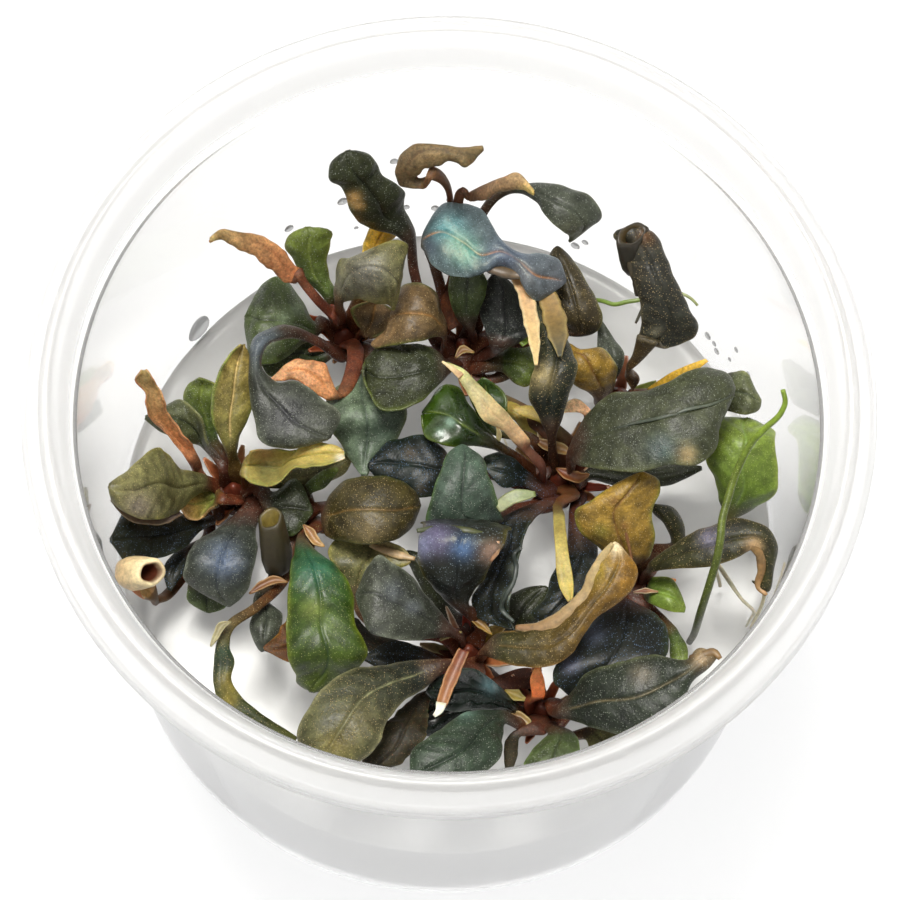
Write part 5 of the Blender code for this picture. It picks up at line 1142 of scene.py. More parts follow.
def leaf_skin(skin):
    """Waxy leaf tissue: the leaf's own tint, darkened in patches and by its cells, with pale glittering dots.

    The dots are the middles of cells about DOT_CELL_MM wide, each as bright as its own random number.  Thin
    dry tissue lets light through.  Bluish leaves shine as a very thin film does, from layers in their cells.
    """
    rough, coat, strength, dot_colour, cell_shade, mottle, bump_mm = SKINS[skin]
    material, tree = new_material("leaf tissue, " + skin)
    place = own_place(tree)
    patches = noise(tree, place, MOTTLE_MM, Detail=3.0, Roughness=0.6)
    cells = noise(tree, place, CELL_MM, Detail=2.0, Roughness=0.7)
    shade = node(tree, "ShaderNodeMath", {"operation": "MULTIPLY"},
                 in_0=stretch(tree, patches, 1.0 - mottle, 1.0 + mottle),
                 in_1=stretch(tree, cells, 1.0 - cell_shade, 1.0 + cell_shade)).outputs[0]
    body = node(tree, "ShaderNodeVectorMath", {"operation": "SCALE"}, in_0=own_tint(tree),
                Scale=shade).outputs[0]
    dots = node(tree, "ShaderNodeTexVoronoi", Vector=place, Scale=per_mm(DOT_CELL_MM))
    near = node(tree, "ShaderNodeMapRange", Value=dots.outputs["Distance"], To_Min=1.0, To_Max=0.0,
                From_Min=DOT_MM * 0.5 / DOT_CELL_MM, From_Max=DOT_MM * 1.3 / DOT_CELL_MM)
    number = node(tree, "ShaderNodeSeparateColor", Color=dots.outputs["Color"]).outputs[0]
    bright = node(tree, "ShaderNodeMapRange", Value=number, From_Min=0.35, From_Max=1.0,
                  To_Min=0.0, To_Max=strength).outputs[0]
    dot = node(tree, "ShaderNodeMath", {"operation": "MULTIPLY"}, in_0=near.outputs[0],
               in_1=bright).outputs[0]
    colour = node(tree, "ShaderNodeMix", {"data_type": "RGBA"}, Factor=dot, in_6=body, in_7=rgba(dot_colour))
    height = node(tree, "ShaderNodeMath", {"operation": "ADD"}, in_0=cells, in_1=dot).outputs[0]
    bump = node(tree, "ShaderNodeBump", Height=height, Strength=0.8, Distance=bump_mm * MM)
    film = {"Thin_Film_Thickness": FILM_NM, "Thin_Film_IOR": 1.38} if skin == "iridescent" else {}
    surface(tree, Base_Color=colour.outputs[2], Roughness=stretch(tree, patches, rough - 0.07, rough + 0.09),
            Normal=bump.outputs[0], Coat_Weight=coat, Coat_Roughness=0.12, Specular_IOR_Level=0.40,
            Subsurface_Weight=LIT_THROUGH if skin in ("withered", "pale") else 0.0,
            Subsurface_Scale=LIT_DEPTH_MM * MM, **film)
    return material


skins = {skin: leaf_skin(skin) for skin in SKINS}
print("leaf skins:", len(skins))

# %% [markdown]
# ## Making the leaves
#
# All the parts of a leaf come together: where its stalk starts, its shell and its tints.  Each leaf is a
# piece of its own, so that it can be bent or swapped alone, and stands for the plain solid of its name.  Dry
# tissue shrinks unevenly, so it ripples more strongly and more finely than living tissue.

# %% Make the leaves
RIPPLES = {"withered": (0.3, 4.0), "iridescent": (0.12, 6.0)}
LIVING_RIPPLE = (0.1, 6.0)


def make_leaf(name, spec, place, start):
    """One leaf as its own piece, which stands for its solid where it has one; its number of quads."""
    kind = spec["kind"]
    skin, tones = TONES[kind]
    rings, facts = leaf_shell(name, spec, place, start, *RIPPLES.get(skin, LIVING_RIPPLE))
    shell = closed_rings(rings)
    tints = with_poles(rings, leaf_tints(name, tones, rings.reshape(-1, 3), facts))
    title, stands_for = (name, ()) if spec["small"] else (name + "_seen", (name,))
    mesh_piece(title, [shell], skins[skin], tints, stands_for)
    return len(shell[1])


faces = 0
for crown in CROWNS:
    specs = {name: spec for name, spec in LEAVES.items() if spec["crown"] == crown}
    place = crown_place(crown)
    starts = spread_stalks(specs, place)
    for name, spec in specs.items():
        faces += make_leaf(name, spec, place, starts[name])
print("leaf quads:", faces)

# %% [markdown]
# ## The cup
#
# The cup is thin clear polypropylene: a warm sheet is drawn over a mould, which leaves a thin wall, a thick
# rim and soft corners.  A thing like this is one profile turned round its axis: radius and height along the
# profile, and the angle round it.  Each corner of the profile has its own small radius, because sharp corners
# on plastic look false.  Thick plastic looks milky and the drawn wall clear, so both change with height.

# %% Turned shapes
ROUND_STEPS = 192
ARC_STEPS = 5


def turned_shell(profile, wobble=None):
    """Points and faces of a closed profile [(r, z)] turned round the axis: x = r cos a, y = r sin a.

    The profile runs from the axis back to the axis, so its first and last points are the poles.  A wobble
    is a function of x, y and z that is added to the height.
    """
    profile = np.asarray(profile, float)
    a = np.linspace(0, 2 * np.pi, ROUND_STEPS, endpoint=False)
    r = profile[1:-1, :1]
    rings = np.stack([r * np.cos(a), r * np.sin(a), profile[1:-1, 1:] + 0 * a], axis=-1)
    poles = np.stack([[0, 0, profile[0, 1]], [0, 0, profile[-1, 1]]])
    if wobble:
        for points in (rings, poles):
            points[..., 2] += wobble(*np.moveaxis(points, -1, 0))
    return closed_rings(rings, poles)


def rounded(corners):
    """A polyline [(r, z, cut)]: each inner corner becomes a quadratic curve between two cuts from it."""
    places = [np.array(corner[:2]) for corner in corners]
    made = [places[0]]
    for p, q, r, (_, _, cut) in zip(places, places[1:], places[2:], corners[1:]):
        start = q + (p - q) * min(cut / np.linalg.norm(p - q), 0.5)
        end = q + (r - q) * min(cut / np.linalg.norm(r - q), 0.5)
        for t in np.linspace(0, 1, ARC_STEPS):
            made.append((1 - t) ** 2 * start + 2 * t * (1 - t) * q + t * t * end)
    return made + [places[-1]]


# %% The cup's shape
FLOOR_TOP = FLOOR + 0.3
OUTER_LOW_R = WALL_R_AT_GEL + WALL - (GEL_TOP - BASE_CORNER) * WALL_TAPER
# radius, height, and how far the corner is cut
CUP_INSIDE = [
    (0.0, FLOOR_TOP, 0.0), (inner_radius(FLOOR_TOP), FLOOR_TOP, 2.2), (inner_radius(COLLAR_Z), COLLAR_Z, 0.3),
    (COLLAR_R + 0.6, COLLAR_Z + 0.5, 0.4), (RIM_INNER_R - 0.9, CUP_HEIGHT - 1.2, 0.8),
    (RIM_INNER_R, CUP_HEIGHT, 0.5),
]
CUP_FLANGE = [
    (RIM_INNER_R + 0.9, CUP_HEIGHT, 0.5), (RIM_FLANGE_R - 0.6, FLANGE_Z + 0.25, 0.4),
    (RIM_FLANGE_R, FLANGE_Z, 0.3), (RIM_FLANGE_R, FLANGE_Z - 0.8, 0.2),
    (RIM_FLANGE_R - 0.25, FLANGE_Z - 1.1, 0.2), (RIM_FLANGE_R, FLANGE_Z - 1.4, 0.2),
    (RIM_FLANGE_R, FLANGE_Z - 2.0, 0.2), (RIM_FLANGE_R - 0.25, FLANGE_Z - 2.3, 0.2),
    (RIM_FLANGE_R, SKIRT_Z, 0.2), (RIM_FLANGE_R - 0.7, SKIRT_Z, 0.3),
    (RIM_FLANGE_R - 0.8, FLANGE_Z - 0.6, 0.3), (RIM_INNER_R + 1.2, CUP_HEIGHT - 1.0, 0.4),
    (COLLAR_R + 1.7, COLLAR_Z + 0.1, 0.4), (inner_radius(COLLAR_Z - 0.8) + WALL, COLLAR_Z - 0.8, 0.4),
]
CUP_BASE = [(OUTER_LOW_R, 0.0, BASE_CORNER), (0.0, 0.0, 0.0)]


def make_cup():
    """Inside up the wall to the rim, over the flange with its fine ridges, and down the outside."""
    profile = rounded(CUP_INSIDE + CUP_FLANGE + CUP_BASE)
    print("cup profile points:", len(profile))
    return turned_shell(profile)


# %% Its plastic
THIN_HAZE, THICK_HAZE = 0.07, 0.30
THIN_ROUGH, THICK_ROUGH = 0.07, 0.28
COLLAR_BLEND_MM = 1.5


def by_height(tree, height, wall, flange):
    """A value that goes from the wall's to the flange's across the collar."""
    return node(tree, "ShaderNodeMapRange", Value=height, From_Min=(COLLAR_Z - COLLAR_BLEND_MM) * MM,
                From_Max=(COLLAR_Z + COLLAR_BLEND_MM) * MM, To_Min=wall, To_Max=flange).outputs[0]


def clear_plastic():
    """Clear polypropylene, thermoformed: the drawn wall is thin and clear, the thick flange a little milky.

    Its crystals scatter light, the more the thicker it is, so the share of clear light falls and the
    roughness rises at the flange.  A very shallow bump stands for the uneven draw.
    """
    material, tree = new_material("clear polypropylene, thermoformed")
    place = own_place(tree)
    height = node(tree, "ShaderNodeSeparateXYZ", Vector=place).outputs["Z"]
    bump = node(tree, "ShaderNodeBump", Height=noise(tree, place, 6.0, Detail=2.0), Strength=0.05,
                Distance=0.05 * MM)
    surface(tree, Base_Color=rgba("#fefefe"), Roughness=by_height(tree, height, THIN_ROUGH, THICK_ROUGH),
            Transmission_Weight=by_height(tree, height, 1.0 - THIN_HAZE, 1.0 - THICK_HAZE), IOR=1.45,
            Normal=bump.outputs[0])
    return material


mesh_piece("cup_seen", [make_cup()], clear_plastic(), stands_for=("cup",))

# %% [markdown]
# ## The jelly
#
# The plants root in agar, a jelly boiled from seaweed, poured hot and set in the cup.  It is a turned shape
# too, with its edge drawn up the wall as any liquid's is.  Its top sets a little uneven, so two slow waves
# are added to the height.  It is cloudy, so only part of the light goes through it.

# %% The jelly
GEL_GAP = 0.3
GEL_RING_SHARES = (0.12, 0.25, 0.4, 0.55, 0.7, 0.82, 0.92)
GEL_CLEAR = 0.35


def gel_wobble(x, y, z):
    """Two slow waves of 0.16 and 0.08 mm, which fade to nothing below the top."""
    top = fade(GEL_TOP - 3.0, GEL_TOP - 0.4, z)
    return top * (0.16 * np.sin(x * 0.23 + 0.8) * np.cos(y * 0.19 - 0.4) + 0.08 * np.sin(x * 0.61 + y * 0.47))


def set_gel():
    """Agar gel, poured and set: cloudy grey-white, wet on top, which gives it soft broken highlights."""
    material, tree = new_material("agar gel, set and cloudy")
    place = own_place(tree)
    colour = node(tree, "ShaderNodeMix", {"data_type": "RGBA"}, Factor=noise(tree, place, 9.0, Detail=4.0),
                  in_6=rgba("#f2f2f1"), in_7=rgba("#fafaf9"))
    bump = node(tree, "ShaderNodeBump", Height=noise(tree, place, 2.5, Detail=3.0), Strength=0.35,
                Distance=0.12 * MM)
    surface(tree, Base_Color=colour.outputs[2], Roughness=0.22, IOR=1.33, Transmission_Weight=GEL_CLEAR,
            Normal=bump.outputs[0])
    return material


def make_gel():
    """A disc that fills the cup's floor, its top edge drawn up the wall in a small meniscus."""
    low = inner_radius(FLOOR + 1.2) - GEL_GAP
    wall = inner_radius(GEL_TOP) - GEL_GAP
    top = [(wall * share, GEL_TOP) for share in GEL_RING_SHARES]
    meniscus = [(wall - 1.6, GEL_TOP + 0.02), (wall - 0.8, GEL_TOP + 0.12), (wall - 0.3, GEL_TOP + 0.32),
                (wall, GEL_TOP + 0.6), (wall, GEL_TOP - 0.4)]
    side = [(low, FLOOR + 2.2), (low - 0.4, FLOOR + 0.9), (low - 2.2, FLOOR + 0.35)]
    return turned_shell([(0.0, GEL_TOP)] + top + meniscus + side + [(0.0, FLOOR + 0.35)], gel_wobble)


mesh_piece("gel_seen", [make_gel()], set_gel(), stands_for=("gel",))

# %% [markdown]
# ## Rhizomes
#
# The creeping stem, or rhizome, is a reddish brown cord that lies on the jelly and turns up at each crown.
# Its rings are the scars of fallen leaves.  It is a circle carried along a curve, whose radius changes along
# the way: a power of a sine makes the swollen rings with smooth cord between.  A frame that turns as little
# as it can keeps the circle from twisting.

# %% Round things along a path
ROUND_COUNT = 16


def tube_rings(points, radius, step=0.5, count=ROUND_COUNT, knots=None):
    """Rings of a tube: centre c(s), radius r(s), and a frame that turns as little as it can along the way."""
    fine, s, _ = smooth_path(points, step)
    along = unit(np.gradient(fine, axis=0))
    helper = np.array([0.0, 0.0, 1.0]) if abs(along[0][2]) < 0.9 else np.array([1.0, 0.0, 0.0])
    side = np.empty_like(along)
    side[0] = unit(np.cross(along[0], helper))
    for i in range(1, len(along)):
        side[i] = unit(side[i - 1] - along[i] * (side[i - 1] @ along[i]))
    other = np.cross(along, side)
    r = np.interp(s / s[-1], np.linspace(0, 1, len(radius)), radius)
    if knots is not None:
        r = r * knots(s)
    a = np.linspace(0, 2 * np.pi, count, endpoint=False)
    ring = (side[:, None] * np.cos(a)[None, :, None] + other[:, None] * np.sin(a)[None, :, None])
    return fine[:, None] + ring * r[:, None, None], s / s[-1]


def tube(points, radius, stops, **options):
    """A closed tube with its colours: the shell, and the tint of each of its points."""
    rings, share = tube_rings(points, radius, **options)
    return closed_rings(rings), with_poles(rings, np.repeat(ramp(stops, share), rings.shape[1], axis=0))


def stem_skin(name, rough, bump_mm, coat, shade, grain_mm):
    """Living stem tissue: its tint, mottled by cells of grain_mm, with a faint gloss where it is wet.

    It grows in layers that let a little light in, which softens its shadows.
    """
    material, tree = new_material(name)
    grain = noise(tree, own_place(tree), grain_mm, Detail=4.0, Roughness=0.65)
    colour = node(tree, "ShaderNodeVectorMath", {"operation": "SCALE"}, in_0=own_tint(tree),
                  Scale=stretch(tree, grain, 1.0 - shade, 1.0 + shade)).outputs[0]
    bump = node(tree, "ShaderNodeBump", Height=grain, Strength=0.6, Distance=bump_mm * MM)
    surface(tree, Base_Color=colour, Roughness=rough, Coat_Weight=coat, Coat_Roughness=0.15,
            Normal=bump.outputs[0], Subsurface_Weight=0.08, Subsurface_Scale=0.5 * MM)
    return material


# %% The rhizomes
NUB_R = 1.9
NUB_TOP = 30.5
STEM_R = 1.2
STEM_LIFT = 0.35
STEM_WAVE = 0.25
STEM_TONES = [(0, "#46241a"), (0.5, "#54301f"), (1, "#46241a")]
NUB_TONES = [(0, "#3c1d12"), (0.5, "#4a2012"), (0.8, "#562414"), (1, "#642a16")]
STEMS = {
    "rhizome_back": ["back", "rear"],
    "rhizome_left": ["left", "middle"],
    "rhizome_front": ["front", "rim"],
    "rhizome_right": ["far", "right"],
    "rhizome_side": ["side"],
}


def run_between(a, b):
    """The cord between two crowns, lying just over the jelly, with leaf scars that stand out."""
    height = STEM_R + STEM_LIFT + GEL_TOP
    path = [(*(a[:2] + (b[:2] - a[:2]) * t), height + STEM_WAVE * math.sin(t * 9))
            for t in np.linspace(0, 1, 7)]
    return tube(path, [STEM_R, STEM_R * 1.05, STEM_R], STEM_TONES,
                knots=lambda s: 1 + 0.12 * np.abs(np.sin(s * 1.7)) ** 8)


def nub(place):
    """The upright end of the stem at a crown, from the jelly to a blunt tip, with scars that are drawn in."""
    path = [(place[0], place[1], z) for z in np.linspace(GEL_TOP + STEM_LIFT, NUB_TOP, 6)]
    return tube(path, [NUB_R * 0.8, NUB_R, NUB_R, NUB_R * 0.9, NUB_R * 0.6, 0.3], NUB_TONES,
                knots=lambda s: 1 - 0.10 * np.abs(np.sin(s * 1.9)) ** 6)


rind = stem_skin("rhizome rind, scarred", 0.5, 0.12, 0.15, 0.35, 0.9)
for title, crowns in STEMS.items():
    places = [crown_place(crown) for crown in crowns]
    made = [run_between(*places)] if len(places) == 2 else []
    made += [nub(place) for place in places]
    shells, tints = zip(*made)
    mesh_piece(title + "_seen", shells, rind, np.concatenate(tints), stands_for=(title,))
print("rhizomes:", len(STEMS))

# %% [markdown]
# ## Shoot and roots
#
# A green shoot climbs over the plants on the right, and two pale roots reach for the jelly.  They are tubes
# like the stem, through points read along them in the photograph.  A shoot is green and waxy like a young
# leaf, so it shares that skin; a root is smooth and wet.

# %% Shoot and roots
SHOOT = items("""29.6 -21.6 25, 30.2 -20.4 33, 31 -17.5 41, 32 -14 45, 32.8 -11 47, 33.2 -8.5 48,
33.4 -6 48.5, 34 -3.5 49, 35 0 50, 35.8 2 51, 37 4.3 52.5, 38.5 6 54, 40.5 8.2 56, 41 9.6 57, 40.7 11.2 58""")
ROOT_BACK = items("""13.6 22.6 25, 15.2 22.9 30, 17 22.4 33, 18.5 22.2 34, 20 21.8 34.5, 21.5 22.2 35,
23 22.5 35.3, 26 23.8 35.6, 28 23.6 35.8, 29.5 22.8 35.8, 30.2 22 35.5""")
ROOT_RIGHT = items("""33.2 -14.4 25, 33 -11.9 34, 34.5 -14.2 35, 35.8 -16 34, 37.2 -17.4 32, 36.8 -18.6 29,
36.4 -19.4 25""")
root_skin = stem_skin("root, thin and wet", 0.35, 0.02, 0.3, 0.2, 0.5)
# piece, path, radii and tones from its foot to its tip, skin, finish slot
CORDS = [
    ("shoot", SHOOT, [0.42, 0.45, 0.5, 0.5, 0.5, 0.48, 0.42, 0.3],
     [(0, "#35341a"), (0.3, "#3c4416"), (0.7, "#525f1a"), (1, "#7c9430")], skins["glossy_green"], "shoot"),
    ("root_back", ROOT_BACK, [0.3, 0.3, 0.3, 0.26, 0.18],
     [(0, "#5c7a2c"), (0.6, "#7c9440"), (1, "#a8b078")], root_skin, "root"),
    ("root_right", ROOT_RIGHT, [0.24, 0.24, 0.2, 0.16],
     [(0, "#a89c78"), (0.5, "#c8c0a0"), (1, "#d8d2ba")], root_skin, "root"),
]


def sighted(points):
    """Points in space from their plan places and heights."""
    return [sight(*p) for p in points]


for title, path, radius, stops, skin, slot in CORDS:
    shell, tints = tube(sighted(path), radius, stops, step=0.3)
    mesh_piece(title + "_seen", [shell], skin, tints, stands_for=(title,))
print("shoot and roots:", len(CORDS))

# %% [markdown]
# ## Sheaths
#
# Round each crown stand papery sheaths that once wrapped the young leaves, red at first and tan or white
# when they dry.  Each is a ribbon along a curve, bent across to part of a circle, which is how a strip that
# has wrapped something stays bent.  The same ribbon serves every thin scrap further on.

# %% Ribbons
RIBBON_MM = 0.24
RIBBON_STEP = 0.3
RIBBON_WANDER = 0.06
RIBBON_ACROSS = np.linspace(-1, 1, 9)


def ribbon(path, widths, curl, tones, seed=0):
    """A thin strip with its colours: centre c(s), width w(s), its section an arc of angle curl.

    The arc's radius is w / curl, and a negative curl turns the margins down.  The strip's side is level and
    square to its heading, and its width wanders by the share RIBBON_WANDER.  The tones are those of its base,
    its tip and its margin.
    """
    fine, s, _ = smooth_path(path, RIBBON_STEP)
    t = unit(np.gradient(fine, axis=0))
    side = unit(np.cross(t, [0.0, 0.0, 1.0]) + [1e-6, 0, 0])
    normal = np.cross(side, t)[:, None]
    side = side[:, None]
    share = s / s[-1]
    w = np.interp(share, np.linspace(0, 1, len(widths)), widths)
    w = w * (1 + RIBBON_WANDER * (np.sin(s * 2.1 + seed) + 0.5 * np.sin(s * 4.7 + 2 * seed)))
    v = RIBBON_ACROSS
    phi = (curl / 2 * v)[None, :, None]
    r = (w / curl)[:, None, None]
    middle = fine[:, None] + side * r * np.sin(phi) + normal * r * (1 - np.cos(phi))
    face = normal * np.cos(phi) - side * np.sin(phi)
    half = RIBBON_MM / 2 * np.sqrt(np.clip(1 - np.abs(v) ** 6, 0.05, 1))[None, :, None]
    half = half * np.minimum(1.0, w / 0.5)[:, None, None]
    rings = both_faces(middle + face * half, middle - face * half)
    base, tip, rim = tones
    edge = np.concatenate([np.abs(v), np.abs(v[-2:0:-1])])
    along = ramp([(0, base), (1, tip)], share)[:, None]
    tints = along + (linear(rim) - along) * (fade(0.6, 1.0, edge) * 0.7)[None, :, None]
    return closed_rings(rings), with_poles(rings, tints)


# %% Sheaths round each crown
SHEATH_FOOT_H = 26.2
SHEATH_FOOT_R = 1.4
SHEATH_CURL = 2.3
# crown | direction in degrees, length, width, rise, tones of base, tip and margin;
SHEATH_TABLE = """
back | 110 5 2.2 5 #671d0d #8e4120 #ba6f42, 60 4 2.4 4 #6b2c11 #94532d #c99568,
 10 4.5 2 3.5 #59200d #874725 #ba8051, 165 4.5 2.4 5 #641c0b #8e3a1b #c17144,
 215 4 2 4 #581a0b #7d3a1e #ab6842, 300 3.5 2 3 #642811 #945632 #c58f64,
 255 3.2 1.6 3.6 #743217 #a16d46 #d0a47e;
rear | 95 4.5 2.2 3.5 #5b2914 #7d4c2b #ab7e55, 150 4 2.4 3 #4d200e #774623 #a4774a,
 30 4.2 2 3.5 #5f2c13 #875632 #ba8960, 330 5 2.2 2.5 #65230e #873f1e #b36f4a,
 275 5.5 2.4 2.5 #532311 #7a4928 #b3865d, 210 4 1.8 3 #47200e #6a3f25 #9c734e,
 305 6.5 1.6 2 #67200e #873820 #ab5d3b;
left | 80 4 2.2 4 #7a2c11 #a87349 #d8ba95, 20 3.6 2 3.5 #80381d #ae8159 #d8c1a0,
 140 3.6 2 4.5 #65230e #945632 #c99168, 250 4 2 3 #712911 #9b6038 #cda27a,
 310 4.2 2.2 3 #59200e #874c2b #ba865d, 195 3.2 1.8 3.5 #64220e #8e4928 #ba7a51;
middle | 200 3.6 2.2 3 #74381d #a87d59 #d8be9e, 260 4.2 2 2.5 #652914 #945938 #c99c77,
 90 3.4 2 3.5 #642f17 #94633f #cda782, 150 3.4 1.8 3 #682c14 #9b6646 #cda782,
 320 3.2 1.8 3 #592614 #875332 #ba8960;
front | 95 4.6 1.4 4.5 #67140a #872b14 #b34a2c, 120 4.4 1.2 4.5 #711c0d #ae8766 #dfd4c1,
 75 4.8 1.6 4 #64170a #813218 #ab5933, 35 4.6 2.6 4.5 #866423 #a88e4c #d4c186,
 345 4.6 2.4 3 #803d1d #a86f3f #dcc5a4, 310 4 2 3 #742911 #a15932 #d09568,
 175 4.6 1.8 3 #7a804d #81603c #b6ab7e, 145 4.4 1 4 #711d0e #b59b81 #e3dcd0,
 215 3.6 1.6 3 #6d2611 #944c2f #c18660, 10 3 1.4 3.6 #8c3820 #b57366 #dfb3a4;
rim | 100 5.4 1.7 8 #8c3517 #b56332 #df9c68, 60 3.6 1.6 3.5 #802911 #a15d35 #d09873,
 135 3.8 1.6 4 #7a2611 #a86649 #dfd0b3, 20 3.6 1.8 3 #6d2c13 #946038 #d4c9a4,
 180 4 1.8 3 #862f14 #b26638 #dcab7e, 250 3.6 1.6 2.8 #65200e #8a492b #ba825d,
 310 3.8 1.8 2.8 #743817 #a18159 #c9c99c;
right | 150 5 2.2 4.5 #80461d #b28c56 #dfcda4, 115 5.6 2.6 5 #865323 #b89866 #e3d6b6,
 70 6 2.6 4.5 #7a401a #b2814c #e3d8c1, 35 5.2 2.2 4 #6e3214 #a86f3f #dfcdb3,
 185 4.4 2 3.5 #64230e #914c28 #c98960, 350 5.4 1.6 3 #58170b #772d18 #9c4a2c,
 330 4.2 2 2.6 #5f2811 #8e5932 #c19568, 270 3.4 1.6 3 #7a7135 #a19859 #cdc591,
 225 3.6 1.8 3 #652911 #94532f #c58d60, 90 4 1.6 6 #743214 #ae7246 #e7dfd0;
side | 40 3.8 1.8 3.5 #6b2c13 #9b6038 #d0a47e, 120 3.8 2 4 #7a3519 #ab7756 #dfc9b6,
 165 3.4 1.8 3 #64230e #94542f #c99168, 355 4 1.6 3 #80411a #ae6f32 #d8a468,
 240 3.4 1.6 2.8 #743526 #a87060 #dfd0c9;
far | 80 3.6 2 3.5 #5b2814 #875638 #cd9c8d, 160 3.6 2 3 #652f19 #946649 #d0ab9c,
 20 3.6 1.8 3 #4d4c1d #6f7732 #9ca75d, 250 4 1.8 2.6 #5f2914 #8e5938 #c1956f,
 320 3.4 1.6 2.8 #562614 #815335 #ba8d68;
"""
SHEATHS = {crown: sheaths for (crown,), (sheaths,) in records(SHEATH_TABLE)}
bract_skin = stem_skin("bract, papery and moist", 0.5, 0.05, 0.1, 0.3, 0.7)


def make_sheaths(crown, sheaths):
    """The sheaths of one crown as one piece: short channels that lean outwards from the nub."""
    place = crown_place(crown)
    made = []
    for number, (degrees, length, width, rise, *tones) in enumerate(sheaths):
        a = math.radians(degrees)
        out = np.array([math.cos(a), math.sin(a), 0.0])
        foot = np.array([place[0], place[1], SHEATH_FOOT_H]) + out * SHEATH_FOOT_R
        path = [foot + out * length * reach + [0, 0, up]
                for reach, up in ((0, 0), (0.25, rise * 0.45), (0.6, rise * 0.8), (1, rise + 0.6))]
        made.append(ribbon(path, [width * 0.8, width, width * 0.9, width * 0.25], SHEATH_CURL, tones,
                           seed=number * 1.7))
    shells, tints = zip(*made)
    mesh_piece("sheaths_" + crown, shells, bract_skin, np.concatenate(tints))


for crown, sheaths in SHEATHS.items():
    make_sheaths(crown, sheaths)
print("sheaths:", sum(map(len, SHEATHS.values())))

# %% [markdown]
# ## Flaps, strips and hooks
#
# Some margins fold over and show their underside, a few torn strips hang on, and small bracts lie in the
# gaps.  They are ribbons laid over a blade.  Their path is read in the photograph, and their height is that
# of the settled blade below plus a small rise, so they follow it wherever it came to lie.

